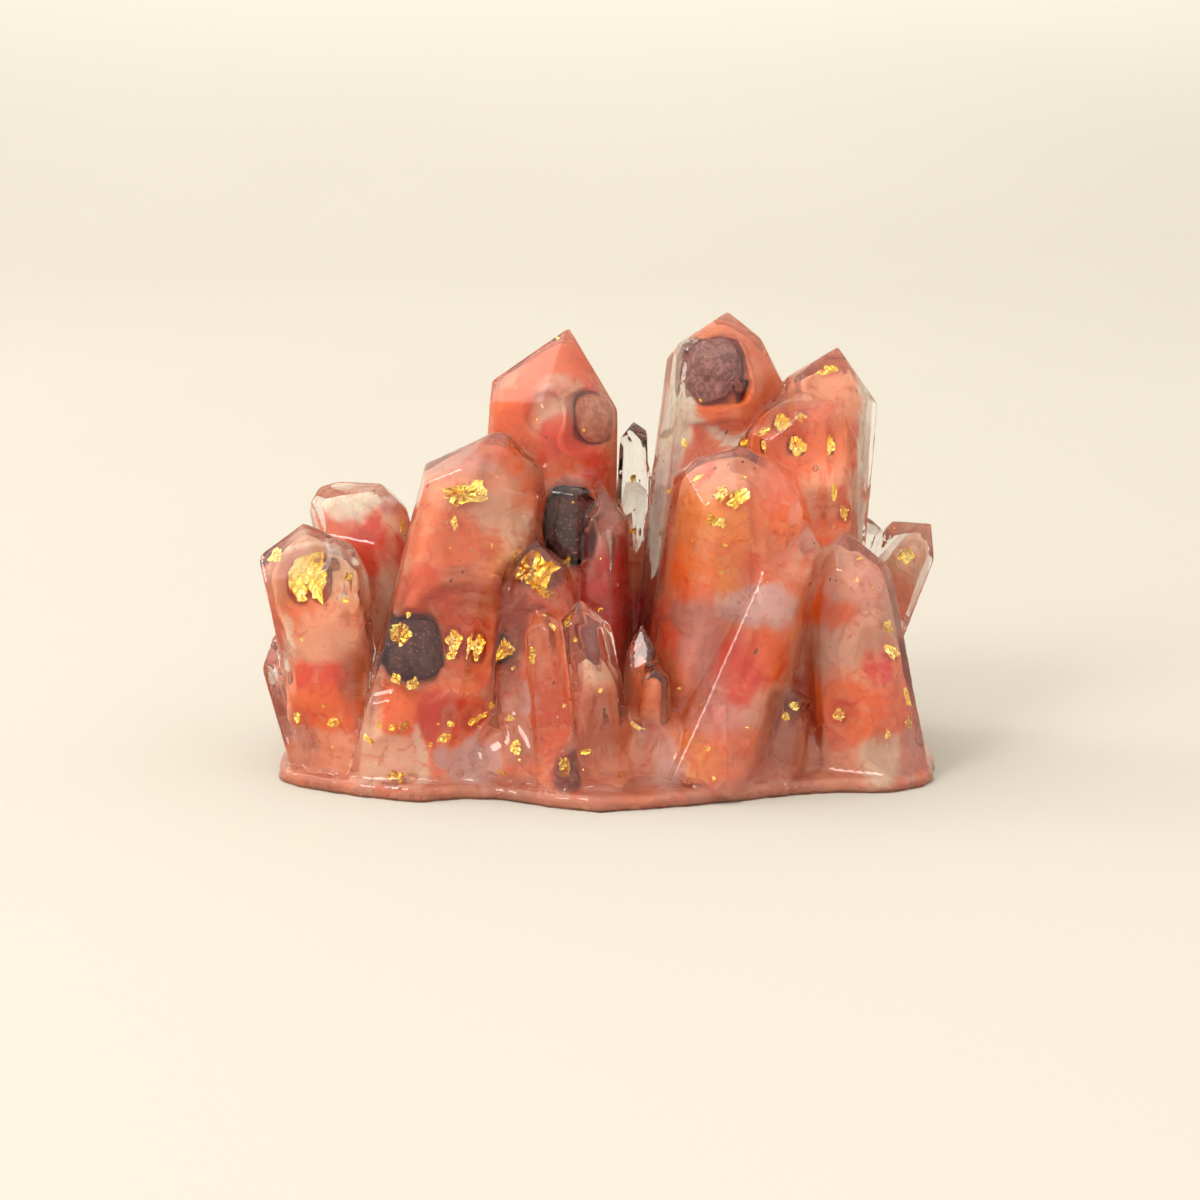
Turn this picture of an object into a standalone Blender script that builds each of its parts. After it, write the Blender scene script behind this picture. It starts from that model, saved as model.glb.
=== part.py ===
"""A crystal cluster cast in clear resin: six-sided points grown from one low mound on a thin run-out
skirt, with dark chips and leaves of gold sealed inside.

The casting is one piece in the real thing. Here it is parted in two along a sloping plane, so that each
sealed chip and leaf lies in a pocket that opens on the parting. Every piece stands where it is in the
closed casting. X runs along the cluster, -Y is the front, Z is up, and the foot stands on Z = 0."""
import math
import random
from dataclasses import dataclass

import bmesh
import bpy
from mathutils import Matrix, Vector

# Driving dimensions, in millimetres unless the name says otherwise
MM = 0.001                     # metres in a millimetre
FIT_GAP = 0.3                  # clearance between pieces that touch
PARTING_FOOT_Y = -17.0         # where the parting plane meets the floor
PARTING_LEAN = 0.5             # how far the parting plane goes back for each millimetre up
SKIRT_THICKNESS = 1.9
MOUND_HALF_LENGTH = 40.0
MOUND_HALF_DEPTH = 22.0
MOUND_HEIGHT = 11.0
MOUND_SHIFT_Y = 0.6
MOUND_FULLNESS = 0.62          # 1 is an ellipsoid, less is steeper at the sides
MOUND_LUMPS = 0.05             # how uneven it is, as a share of its size
LEAF_THICKNESS = 0.35
LEAF_HALF = LEAF_THICKNESS / 2
BLOCK_SIZE = 400.0             # a block to saw from, larger than anything sawn from it
SIDES = 6
WELD = 0.00001                 # metres
FOOT_CUT = 1.0                 # everything reaches this far below the floor, until the foot is cut flat

# How irregular the points are. Angles are in degrees.
SIDE_TURN = 5.0                # a side is turned by up to this
SIDE_SHARE = 0.93              # and moved in to as little as this share of its distance
CAP_TURN = 7.0                 # an end facet is steeper or flatter by up to this
CAP_LIFT = (0.3, 1.6)          # every other end facet passes this far above the tip

# How irregular a sealed piece's outline is
CORNER_TURN = 0.3              # of the angle between two corners
CORNER_LEAN = 0.15
CORNER_SHARE = 0.8             # a corner is moved in to as little as this share of its distance

# The skirt's edge from above, anticlockwise from the right-hand end of the front
SKIRT_EDGE = (
    (43.6, -10.0), (44.2, 0.0), (41.5, 10.0), (37.0, 18.5), (28.0, 22.0), (19.0, 26.5), (8.0, 25.5),
    (-3.0, 27.0), (-14.0, 26.0), (-24.0, 26.3), (-33.0, 21.0), (-38.6, 14.0), (-41.4, 5.0),
    (-42.2, -5.0), (-41.4, -12.6), (-36.4, -17.3), (-24.0, -22.4), (-17.5, -21.2), (-12.6, -21.6),
    (-8.0, -24.1), (0.0, -27.0), (11.4, -24.3), (20.0, -21.4), (29.0, -18.4), (36.0, -18.4),
    (41.7, -15.4),
)

COLLECTION = "crystal_cluster"


@dataclass
class Crystal:
    """One six-sided point. Its axis runs from root to tip, and azimuths turn about that axis from +X."""
    name: str
    tip: tuple                 # the highest point
    root: tuple                # where the axis enters the mound
    half: tuple                # half width along X and half depth along Y, at the shoulder
    spin: float = 0.0          # azimuth of the first side
    shift: tuple = (0.0, 0.0)  # the prism's centre, off the axis
    flare: float = 0.03        # how much each side spreads for each millimetre down
    caps: tuple = ()           # end facets: azimuth, slope in degrees, how far above the tip they pass
    slope: float = 48.0        # slope of the end facets where caps is empty
    seed: int = 0


# The points that the front view shows, from the left
FRONT_CRYSTALS = (
    Crystal("left_blunt", (-39.2, -4.0, 32.2), (-31.6, -11.0, -0.5), (5.4, 5.8), 5, (-0.9, 0.0), 0.0,
            ((180, 24, 0.0), (180, 60, 7.3), (-110, 50, 0.4), (-50, 48, 0.6), (0, 40, 1.0), (60, 45, 0.6),
             (120, 45, 0.4))),
    Crystal("left_blunt_twin", (-34.2, -6.0, 31.0), (-31.8, -12.0, -0.5), (3.7, 4.4), 20, (-0.2, 0.0), 0.0,
            ((0, 30, 0.0), (0, 66, 3.2), (-65, 50, 0.2), (-125, 45, 0.2), (180, 30, 0.3), (60, 50, 0.5),
             (120, 45, 0.5))),
    Crystal("left_low", (-42.8, -6.0, 18.0), (-37.4, -9.0, -0.5), (2.9, 3.8), 0, (0.2, 0.0), 0.0,
            ((180, 58, 0.0), (-90, 50, 0.4), (0, 30, 0.0), (90, 48, 0.6))),
    Crystal("left_rear", (-35.6, 10.6, 35.6), (-26.0, 4.0, -2.5), (6.5, 6.0), 10, (1.8, 0.0), 0.02,
            ((180, 3, 0.0), (180, 48, 2.8), (-90, 54, 0.0), (0, 17, 0.0), (0, 57, 7.0), (80, 46, 0.8))),
    Crystal("left_large", (-13.4, -4.0, 44.7), (-23.6, -12.0, -0.7), (7.9, 7.7), 12, (-0.2, 0.0), 0.035,
            ((-155, 43, 0.0), (-102, 38, 0.0), (-42, 50, 1.4), (8, 2, 0.0), (8, 37, 2.2), (70, 45, 0.5),
             (125, 45, 0.4))),
    Crystal("tall_left", (-4.4, 9.0, 56.5), (-6.6, 1.0, -3.9), (8.5, 8.8), 0, (-1.3, 0.0), 0.03,
            ((-118, 47, 0.0), (-58, 58, 0.2), (0, 57, 0.5), (60, 52, 0.8), (120, 46, 0.4), (178, 37, 0.0))),
    Crystal("middle_dark", (-4.2, 1.6, 41.2), (-5.4, -2.5, -2.8), (4.7, 6.2), 10, (0.2, 0.0), 0.04,
            ((180, 32, 0.0), (-100, 40, 0.0), (-50, 44, 0.4), (5, 34, 0.0), (5, 60, 3.6), (90, 50, 0.6))),
    Crystal("middle_small", (0.7, -2.0, 36.2), (-1.3, -6.0, -1.1), (3.0, 3.4), 25, (0.0, 0.0), 0.05,
            ((-130, 42, 0.0), (-60, 52, 0.3), (0, 50, 0.3), (90, 50, 0.2), (160, 50, 0.2))),
    Crystal("middle_broad", (-9.8, -8.0, 31.8), (-6.0, -13.5, -0.1), (4.6, 4.8), 0, (0.6, 0.0), 0.14,
            ((-140, 56, 0.0), (-70, 44, 0.0), (-10, 46, 0.6), (60, 50, 0.6), (170, 62, 0.2))),
    Crystal("small_clear", (4.6, 15.0, 43.2), (4.2, 10.0, 2.0), (2.0, 2.4), 0, (0.0, 0.0), 0.05, (), 50.0, 3),
    Crystal("tall_right", (17.2, 11.6, 58.5), (13.7, 5.6, -4.4), (7.9, 7.8), 8, (0.4, 0.0), 0.06,
            ((-150, 32, 0.0), (-78, 47, 0.0), (-10, 34, 0.0), (-5, 60, 4.9), (45, 52, 0.9), (95, 44, 0.2),
             (165, 40, 0.3))),
    Crystal("far_right", (31.8, 8.0, 54.2), (27.6, 4.0, -3.9), (6.1, 6.3), 18, (-1.0, 0.0), 0.0,
            ((-160, 32, 0.0), (-92, 48, 0.0), (-30, 52, 0.1), (20, 54, 0.0), (90, 50, 0.3), (150, 42, 0.2))),
    Crystal("right_inner", (25.2, 1.0, 49.7), (26.0, -3.0, -1.9), (6.9, 6.8), 25, (0.7, 0.0), 0.012,
            ((-140, 44, 0.0), (-95, 34, 0.4), (-10, 20, 0.0), (5, 62, 8.9), (90, 45, 0.5), (170, 30, 0.0),
             (170, 54, 2.5))),
    Crystal("right_round", (18.2, -7.0, 43.2), (12.6, -7.0, -1.1), (9.0, 7.8), 30, (1.4, 0.6), 0.01,
            ((180, 24, 0.0), (180, 50, 4.2), (-125, 46, 1.0), (-80, 36, 0.2), (-35, 40, 2.6), (-10, 18, 0.0),
             (-5, 62, 10.5), (60, 40, 0.8), (120, 42, 0.8))),
    Crystal("right_blade", (26.4, -8.4, 33.4), (14.6, -15.0, 0.7), (3.6, 5.2), 20, (-0.4, 0.0), 0.10,
            ((-165, 60, 0.0), (-100, 46, 0.6), (-20, 40, 0.6), (40, 60, 0.8), (110, 50, 0.5))),
    Crystal("right_large", (30.8, -5.2, 31.6), (34.2, -10.4, -0.4), (5.4, 4.9), 12, (0.8, 0.0), 0.075,
            ((-130, 50, 0.2), (-75, 46, 0.0), (-20, 40, 0.8), (8, 52, 2.2), (70, 50, 0.8), (165, 56, 0.3))),
    Crystal("right_outer", (44.7, 9.4, 30.0), (32.4, 4.0, -1.8), (4.3, 4.4), 12, (-2.2, 0.0), 0.0,
            ((180, 17, 0.0), (180, 62, 7.6), (-100, 50, 0.6), (-50, 60, 1.0), (0, 66, 0.6), (60, 56, 0.6),
             (120, 46, 1.0))),
    Crystal("right_clear", (35.6, 13.0, 30.9), (31.6, 7.0, -2.3), (3.9, 4.2), 0, (0.0, 0.0), 0.03,
            (), 42.0, 8),
)

# Low points and slabs along the front of the foot, from the left
FOOT_CRYSTALS = (
    Crystal("foot_left", (-25.8, -13.4, 15.2), (-27.0, -16.0, 0.0), (4.2, 3.8), 20, (0.0, 0.0), 0.05,
            ((-120, 46, 0.0), (-50, 56, 0.2), (10, 56, 0.4), (90, 50, 0.6), (170, 60, 0.6))),
    Crystal("foot_left_blade", (-32.6, -13.5, 8.0), (-33.4, -15.6, 0.0), (1.7, 2.2), 30, (0.0, 0.0), 0.02,
            (), 40.0, 5),
    Crystal("foot_bump", (-19.6, -13.0, 13.6), (-19.6, -16.0, 0.0), (3.6, 3.6), 0, (0.0, 0.0), 0.1,
            (), 30.0, 2),
    Crystal("foot_slab", (-19.5, -15.4, 8.0), (-13.6, -19.4, 0.4), (1.7, 1.6), 18, (0.0, 0.0), 0.0,
            (), 30.0, 4),
    Crystal("foot_slab_low", (-18.8, -17.4, 4.8), (-14.6, -20.0, 0.4), (1.4, 1.2), 10, (0.0, 0.0), 0.0,
            (), 25.0, 9),
    Crystal("foot_chip", (-11.6, -16.0, 10.6), (-9.2, -19.2, 3.0), (1.9, 1.5), 35, (0.0, 0.0), 0.0,
            (), 30.0, 6),
    Crystal("twin_left", (-7.4, -15.0, 23.2), (-4.4, -21.0, 0.0), (2.5, 2.8), 5, (0.1, 0.0), 0.05,
            ((-120, 40, 0.2), (-50, 46, 0.3), (10, 42, 0.2), (90, 48, 0.3), (170, 55, 0.3))),
    Crystal("twin_right", (-2.6, -15.4, 24.7), (0.8, -20.6, 0.0), (3.0, 3.0), 22, (0.2, 0.0), 0.05,
            ((-140, 42, 0.0), (-75, 50, 0.1), (-10, 48, 0.2), (40, 58, 0.4), (110, 50, 0.3), (170, 45, 0.3))),
    Crystal("valley_spike", (5.4, -11.0, 20.6), (5.8, -13.5, 0.0), (1.9, 2.2), 15, (0.0, 0.0), 0.08,
            (), 62.0, 7),
    Crystal("valley_chip", (7.0, -14.2, 16.3), (6.2, -16.5, 0.0), (2.3, 2.2), 40, (0.0, 0.0), 0.06,
            (), 40.0, 1),
    Crystal("foot_fold", (24.8, -12.8, 12.8), (22.2, -16.4, 0.0), (2.7, 3.2), 30, (0.0, 0.0), 0.05,
            (), 30.0, 11),
    Crystal("foot_right", (36.8, -11.4, 8.4), (37.6, -13.0, 0.0), (2.6, 3.2), 10, (0.0, 0.0), 0.06,
            (), 34.0, 12),
)

# Points on the back and the ends, which the front view hides
REAR_CRYSTALS = (
    Crystal("rear_left", (-20.0, 19.0, 31.0), (-15.0, 10.0, -2.0), (5.8, 5.6), 10, (0.0, 0.0), 0.03,
            (), 50.0, 21),
    Crystal("rear_middle", (-7.0, 22.0, 37.5), (-5.5, 11.0, -2.0), (5.6, 5.2), 35, (0.0, 0.0), 0.03,
            (), 46.0, 22),
    Crystal("rear_right", (10.4, 21.0, 33.0), (8.0, 11.0, -2.0), (5.4, 5.2), 22, (0.0, 0.0), 0.03,
            (), 50.0, 23),
    Crystal("rear_far_right", (23.0, 19.0, 38.0), (19.5, 11.0, -2.0), (5.6, 5.4), 0, (0.0, 0.0), 0.03,
            (), 48.0, 24),
    Crystal("rear_corner_left", (-31.0, 17.6, 20.5), (-25.0, 10.0, -2.0), (4.6, 4.4), 15, (0.0, 0.0), 0.04,
            (), 46.0, 25),
    Crystal("rear_corner_right", (34.0, 17.6, 20.0), (28.0, 11.0, -2.0), (4.4, 4.4), 40, (0.0, 0.0), 0.04,
            (), 44.0, 26),
    Crystal("rear_low_1", (-24.0, 23.0, 13.5), (-21.0, 17.0, -1.0), (3.3, 3.2), 20, (0.0, 0.0), 0.05,
            (), 44.0, 27),
    Crystal("rear_low_2", (-13.6, 24.4, 17.0), (-12.0, 18.0, -1.0), (3.7, 3.4), 5, (0.0, 0.0), 0.05,
            (), 48.0, 28),
    Crystal("rear_low_3", (1.6, 25.0, 19.0), (1.4, 17.0, -1.0), (4.1, 3.6), 30, (0.0, 0.0), 0.05,
            (), 50.0, 29),
    Crystal("rear_low_4", (17.0, 24.0, 15.5), (15.0, 18.0, -1.0), (3.6, 3.2), 12, (0.0, 0.0), 0.05,
            (), 42.0, 30),
    Crystal("rear_low_5", (27.0, 22.4, 12.0), (23.5, 17.0, -1.0), (3.1, 3.0), 45, (0.0, 0.0), 0.05,
            (), 46.0, 31),
    Crystal("end_left", (-40.6, 6.5, 15.0), (-34.0, 4.0, -1.0), (3.6, 3.8), 10, (0.0, 0.0), 0.03,
            (), 44.0, 32),
    Crystal("end_right", (38.4, 3.4, 15.0), (34.0, 3.0, -1.0), (3.3, 3.8), 25, (0.0, 0.0), 0.03,
            (), 46.0, 33),
)


@dataclass
class Inclusion:
    """A sealed piece, sawn from a block. Its centre is on the parting plane at the given X and Z."""
    name: str
    x: float
    z: float
    half: tuple                # half sizes: across, through and up
    roll: float                # turn in the plane of the parting, degrees
    corners: int               # how many corners are sawn off
    seed: int


DARK_CHIPS = (
    Inclusion("dark_chip_left", -23.8, 17.0, (3.8, 1.7, 3.4), -14, 5, 1),
    Inclusion("dark_chip_middle", -4.2, 31.4, (3.2, 1.7, 4.0), 8, 6, 2),
    Inclusion("dark_chip_tall_right", 15.4, 50.8, (3.7, 1.7, 3.5), -6, 7, 4),
)

BROWN_CHIPS = (
    Inclusion("brown_chip_tall_left", -1.4, 44.8, (2.9, 1.4, 2.8), 20, 9, 3),
)

LEAVES = (
    Inclusion("gold_leaf_left_blunt", -37.4, 24.6, (2.3, LEAF_HALF, 2.3), 25, 6, 11),
    Inclusion("gold_leaf_left_large", -18.2, 17.4, (1.0, LEAF_HALF, 2.2), 6, 4, 12),
    Inclusion("gold_leaf_left_foot", -17.2, 8.6, (1.9, LEAF_HALF, 1.2), -20, 5, 13),
    Inclusion("gold_leaf_middle", -11.4, 16.8, (1.6, LEAF_HALF, 1.9), 12, 5, 14),
    Inclusion("gold_leaf_valley", 4.6, 6.4, (1.3, LEAF_HALF, 0.7), 8, 4, 15),
    Inclusion("gold_leaf_right_inner", 26.2, 42.0, (1.2, LEAF_HALF, 1.5), -18, 5, 16),
    Inclusion("gold_leaf_right_inner_low", 30.6, 33.4, (1.2, LEAF_HALF, 1.2), 30, 5, 17),
    Inclusion("gold_leaf_far_right", 30.6, 50.4, (1.3, LEAF_HALF, 0.8), -25, 5, 18),
    Inclusion("gold_leaf_right_large", 37.0, 16.4, (1.4, LEAF_HALF, 0.9), 15, 5, 19),
    Inclusion("gold_leaf_right_foot", 31.0, 9.2, (1.1, LEAF_HALF, 1.0), 40, 5, 20),
)


def clear_scene():
    for thing in list(bpy.data.objects):
        bpy.data.objects.remove(thing, do_unlink=True)


def new_collection(name):
    group = bpy.data.collections.new(name)
    bpy.context.scene.collection.children.link(group)
    return group


def material(name, colour, roughness, metallic=0.0, alpha=1.0):
    made = bpy.data.materials.new(name)
    made.use_nodes = True
    shader = made.node_tree.nodes["Principled BSDF"]
    shader.inputs["Base Color"].default_value = (*colour, 1.0)
    shader.inputs["Roughness"].default_value = roughness
    shader.inputs["Metallic"].default_value = metallic
    shader.inputs["Alpha"].default_value = alpha
    made.diffuse_color = (*colour, alpha)
    return made


def new_object(name, bm, group, scale=MM):
    """Puts a mesh in the scene in metres. It was built in millimetres unless the scale says otherwise."""
    bmesh.ops.scale(bm, vec=Vector((scale, scale, scale)), verts=bm.verts)
    bmesh.ops.recalc_face_normals(bm, faces=bm.faces)
    mesh = bpy.data.meshes.new(name)
    bm.to_mesh(mesh)
    bm.free()
    thing = bpy.data.objects.new(name, mesh)
    group.objects.link(thing)
    return thing


def as_cutter(thing):
    thing.hide_render = True
    thing.display_type = 'WIRE'
    return thing


def saw(bm, point, normal):
    """Cuts away what lies beyond a plane and closes the cut."""
    everything = bm.verts[:] + bm.edges[:] + bm.faces[:]
    bmesh.ops.bisect_plane(bm, geom=everything, plane_co=point, plane_no=normal, clear_outer=True)
    rim = [edge for edge in bm.edges if edge.is_boundary]
    if rim:
        bmesh.ops.edgeloop_fill(bm, edges=rim)


def block(half=(BLOCK_SIZE / 2,) * 3):
    bm = bmesh.new()
    bmesh.ops.create_cube(bm, size=2.0)
    bmesh.ops.scale(bm, vec=Vector(half), verts=bm.verts)
    return bm


def crystal_axes(spec):
    """The axis of a point, and the two directions across it that azimuths turn through."""
    along = (Vector(spec.tip) - Vector(spec.root)).normalized()
    across = (Vector((1.0, 0.0, 0.0)) - along * along.x).normalized()
    return along, across, along.cross(across)


def outward(across, back, azimuth):
    turn = math.radians(azimuth)
    return across * math.cos(turn) + back * math.sin(turn)


def default_caps(spec):
    """End facets of a point that has none of its own: one for each side, of unequal height."""
    rng = random.Random(spec.seed)
    lead = rng.randrange(SIDES)
    caps = []
    for side in range(SIDES):
        lift = 0.0 if (side - lead) % 2 == 0 else rng.uniform(*CAP_LIFT)
        caps.append((spec.spin + 360 / SIDES * side, spec.slope + rng.uniform(-CAP_TURN, CAP_TURN), lift))
    return caps


def crystal(spec, group):
    """Saws one point from a block: first the flaring sides, then the end facets, then the foot."""
    along, across, back = crystal_axes(spec)
    tip = Vector(spec.tip)
    shoulder = tip - along * spec.half[0]
    centre = shoulder + across * spec.shift[0] + back * spec.shift[1]
    rng = random.Random(spec.name)
    bm = block()
    for side in range(SIDES):
        azimuth = spec.spin + 360 / SIDES * side + rng.uniform(-SIDE_TURN, SIDE_TURN)
        way = outward(across, back, azimuth)
        turn = math.radians(azimuth)
        reach = math.hypot(spec.half[0] * math.cos(turn), spec.half[1] * math.sin(turn))
        reach *= rng.uniform(SIDE_SHARE, 1.0)
        saw(bm, centre + way * reach, way + along * spec.flare)
    for azimuth, slope, lift in spec.caps or default_caps(spec):
        way = outward(across, back, azimuth)
        tilt = math.radians(slope)
        saw(bm, tip + along * lift, along * math.cos(tilt) + way * math.sin(tilt))
    saw(bm, Vector(spec.root) - along, -along)
    return new_object(spec.name, bm, group)


def skirt(group):
    """The thin plate that ran out under the mound. Its edge wanders."""
    outline = bpy.data.curves.new("skirt", 'CURVE')
    outline.dimensions = '2D'
    outline.fill_mode = 'BOTH'
    outline.resolution_u = 4
    outline.extrude = (SKIRT_THICKNESS + FOOT_CUT) * MM / 2
    edge = outline.splines.new('BEZIER')
    edge.use_cyclic_u = True
    edge.bezier_points.add(len(SKIRT_EDGE) - 1)
    for point, (x, y) in zip(edge.bezier_points, SKIRT_EDGE):
        point.co = Vector((x, y, 0.0)) * MM
        point.handle_left_type = 'AUTO'
        point.handle_right_type = 'AUTO'
    curve = bpy.data.objects.new("skirt_outline", outline)
    group.objects.link(curve)
    curve.location.z = (SKIRT_THICKNESS - FOOT_CUT) * MM / 2
    bpy.context.view_layer.update()
    bm = bmesh.new()
    bm.from_mesh(evaluated_mesh(curve))
    bmesh.ops.remove_doubles(bm, verts=bm.verts, dist=WELD)
    plate = new_object("skirt", bm, group, scale=1.0)
    plate.matrix_world = curve.matrix_world
    bpy.data.objects.remove(curve)
    return plate


def mound(group):
    """The lumpy, steep-sided body that the points grow from."""
    rng = random.Random("mound")
    bm = bmesh.new()
    bmesh.ops.create_icosphere(bm, subdivisions=3, radius=1.0)
    for vert in bm.verts:
        flat = math.hypot(vert.co.x, vert.co.y)
        spread = flat ** (MOUND_FULLNESS - 1) if flat > 0 else 0.0
        lump = 1.0 + rng.uniform(-MOUND_LUMPS, MOUND_LUMPS)
        vert.co.x *= MOUND_HALF_LENGTH * spread * lump
        vert.co.y = vert.co.y * MOUND_HALF_DEPTH * spread * lump + MOUND_SHIFT_Y
        vert.co.z = math.copysign(abs(vert.co.z) ** MOUND_FULLNESS, vert.co.z) * MOUND_HEIGHT * lump
    return new_object("mound", bm, group)


def boolean(thing, operation, other):
    step = thing.modifiers.new(f"{operation.lower()} {other.name}", 'BOOLEAN')
    step.operation = operation
    step.solver = 'EXACT'
    step.object = other
    return step


def evaluated_mesh(thing):
    graph = bpy.context.evaluated_depsgraph_get()
    return bpy.data.meshes.new_from_object(thing.evaluated_get(graph))


def casting(group):
    """Joins the skirt, the mound and every point in one solid."""
    whole = mound(group)
    boolean(whole, 'UNION', as_cutter(skirt(group)))
    for spec in FRONT_CRYSTALS + FOOT_CRYSTALS + REAR_CRYSTALS:
        boolean(whole, 'UNION', as_cutter(crystal(spec, group)))
    return as_cutter(whole)


def parting_point(x, z):
    return Vector((x, PARTING_FOOT_Y + PARTING_LEAN * z, z))


def parting_normal():
    """The parting plane's direction towards the front."""
    return Vector((0.0, -1.0, PARTING_LEAN)).normalized()


def half_space(name, towards, group):
    """A block above the floor, on one side of the parting plane and clear of it by half the gap."""
    bm = block()
    saw(bm, Vector((0.0, 0.0, 0.0)), Vector((0.0, 0.0, -1.0)))
    saw(bm, parting_point(0.0, 0.0) + towards * FIT_GAP / 2, -towards)
    return as_cutter(new_object(name, bm, group))


def inclusion(spec, group, name, grow=0.0):
    """A chip or a leaf lying in the parting plane, or the pocket for it where grow is the clearance."""
    rng = random.Random(spec.seed)
    bm = block([size + grow for size in spec.half])
    for corner in range(spec.corners):
        turn = math.radians(360 * (corner + rng.uniform(-CORNER_TURN, CORNER_TURN)) / spec.corners)
        way = Vector((math.cos(turn), rng.uniform(-CORNER_LEAN, CORNER_LEAN), math.sin(turn)))
        reach = math.hypot(spec.half[0] * math.cos(turn), spec.half[2] * math.sin(turn))
        reach *= rng.uniform(CORNER_SHARE, 1.0)
        saw(bm, way.normalized() * (reach + grow), way)
    lean = Matrix.Rotation(-math.atan(PARTING_LEAN), 4, 'X')
    roll = Matrix.Rotation(math.radians(spec.roll), 4, 'Y')
    place = Matrix.Translation(parting_point(spec.x, spec.z))
    bmesh.ops.transform(bm, matrix=place @ lean @ roll, verts=bm.verts)
    return new_object(name, bm, group)


def seal(specs, finish, parts, cutters, halves):
    """Makes each sealed piece, and cuts its pocket in both halves."""
    for spec in specs:
        piece = inclusion(spec, parts, spec.name)
        piece.data.materials.append(finish)
        pocket = as_cutter(inclusion(spec, cutters, f"pocket_{spec.name}", FIT_GAP))
        for resin in halves:
            boolean(resin, 'DIFFERENCE', pocket)


def main():
    clear_scene()
    parts = new_collection(COLLECTION)
    cutters = new_collection(f"{COLLECTION}_cutters")
    resin_finish = material("tinted_resin", (0.86, 0.42, 0.30), 0.12, alpha=0.6)

    whole = casting(cutters)
    bpy.context.view_layer.update()
    solid = evaluated_mesh(whole)
    halves = []
    for name, towards in (("resin_front", parting_normal()), ("resin_back", -parting_normal())):
        resin = bpy.data.objects.new(name, solid.copy())
        parts.objects.link(resin)
        resin.data.materials.clear()
        resin.data.materials.append(resin_finish)
        boolean(resin, 'INTERSECT', half_space(f"{name}_space", towards, cutters))
        halves.append(resin)
    seal(DARK_CHIPS, material("dark_chip", (0.10, 0.05, 0.06), 0.55), parts, cutters, halves)
    seal(BROWN_CHIPS, material("brown_chip", (0.38, 0.20, 0.13), 0.5), parts, cutters, halves)
    seal(LEAVES, material("gold_leaf", (0.90, 0.62, 0.12), 0.28, metallic=1.0), parts, cutters, halves)


main()
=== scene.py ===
"""The looks of a crystal cluster cast in tinted clear resin, with colour clouds, chips, gold leaf and bubbles
sealed inside. Lengths are in millimetres until a mesh is made."""
import itertools
import math
import random
from dataclasses import dataclass

import bmesh
import bpy
import numpy as np
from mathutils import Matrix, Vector
from mathutils.bvhtree import BVHTree


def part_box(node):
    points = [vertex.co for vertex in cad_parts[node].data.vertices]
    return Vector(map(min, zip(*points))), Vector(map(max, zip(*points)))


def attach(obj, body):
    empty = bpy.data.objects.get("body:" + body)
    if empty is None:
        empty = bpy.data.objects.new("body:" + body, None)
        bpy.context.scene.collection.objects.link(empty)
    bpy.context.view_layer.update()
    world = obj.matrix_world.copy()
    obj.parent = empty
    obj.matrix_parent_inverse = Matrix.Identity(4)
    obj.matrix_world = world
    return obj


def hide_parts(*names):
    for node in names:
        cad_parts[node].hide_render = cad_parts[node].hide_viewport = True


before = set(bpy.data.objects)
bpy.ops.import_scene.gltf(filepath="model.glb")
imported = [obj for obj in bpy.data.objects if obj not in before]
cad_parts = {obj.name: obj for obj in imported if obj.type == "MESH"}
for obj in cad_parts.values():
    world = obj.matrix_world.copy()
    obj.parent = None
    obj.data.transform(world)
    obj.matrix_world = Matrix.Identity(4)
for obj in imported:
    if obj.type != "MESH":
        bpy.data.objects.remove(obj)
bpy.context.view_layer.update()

MM = 0.001                     # metres in a millimetre
SIDES = 6
GRID_LOW = (-47.0, -29.5, -1.6)
GRID_HIGH = (47.5, 29.5, 60.5)
GRID_STEP = 0.45
EDGE_SHARPNESS = 10.0          # per millimetre: how tightly the facets of a point meet
JOINT_SHARPNESS = 5.0          # per millimetre: how tightly the points meet each other
SKIRT_SHARPNESS = 3.0          # per millimetre: how tightly the skirt's top meets its edge
FOOT_SHARPNESS = 8.0           # per millimetre: how tightly the casting meets its flat underside
EDGE_DEPTH = 1.5               # how far the colour is rounded inside the edges of the points
FAR = 14.0                     # distances are kept within this of a surface
EVERYWHERE = 99.0              # past the grid's ends
NOISE_CELLS = 32               # before the noise repeats
HOLD = 0.06                    # keeps a point by its cell's crossings where the flats leave it free
LONGEST_PULL = 0.8             # in cells
SKIN_TRIANGLES = 193000
CORE_TRIANGLES = 120000
VEIL_TRIANGLES = 120000

MOUND_HALF_LENGTH = 40.0
MOUND_HALF_DEPTH = 22.0
MOUND_HEIGHT = 11.0
MOUND_SHIFT_Y = 0.6
MOUND_FULLNESS = 0.62
MOUND_SCALE = 9.0              # millimetres to the mound's surface for each unit of its own measure
SKIRT_THICKNESS = 1.9

# The skirt's edge from above, anticlockwise from the right-hand end of the front
SKIRT_EDGE = (
    (43.6, -10), (44.2, 0), (41.5, 10), (37, 18.5), (28, 22), (19, 26.5), (8, 25.5), (-3, 27), (-14, 26),
    (-24, 26.3), (-33, 21), (-38.6, 14), (-41.4, 5), (-42.2, -5), (-41.4, -12.6), (-36.4, -17.3),
    (-24, -22.4), (-17.5, -21.2), (-12.6, -21.6), (-8, -24.1), (0, -27), (11.4, -24.3), (20, -21.4),
    (29, -18.4), (36, -18.4), (41.7, -15.4),
)


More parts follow.
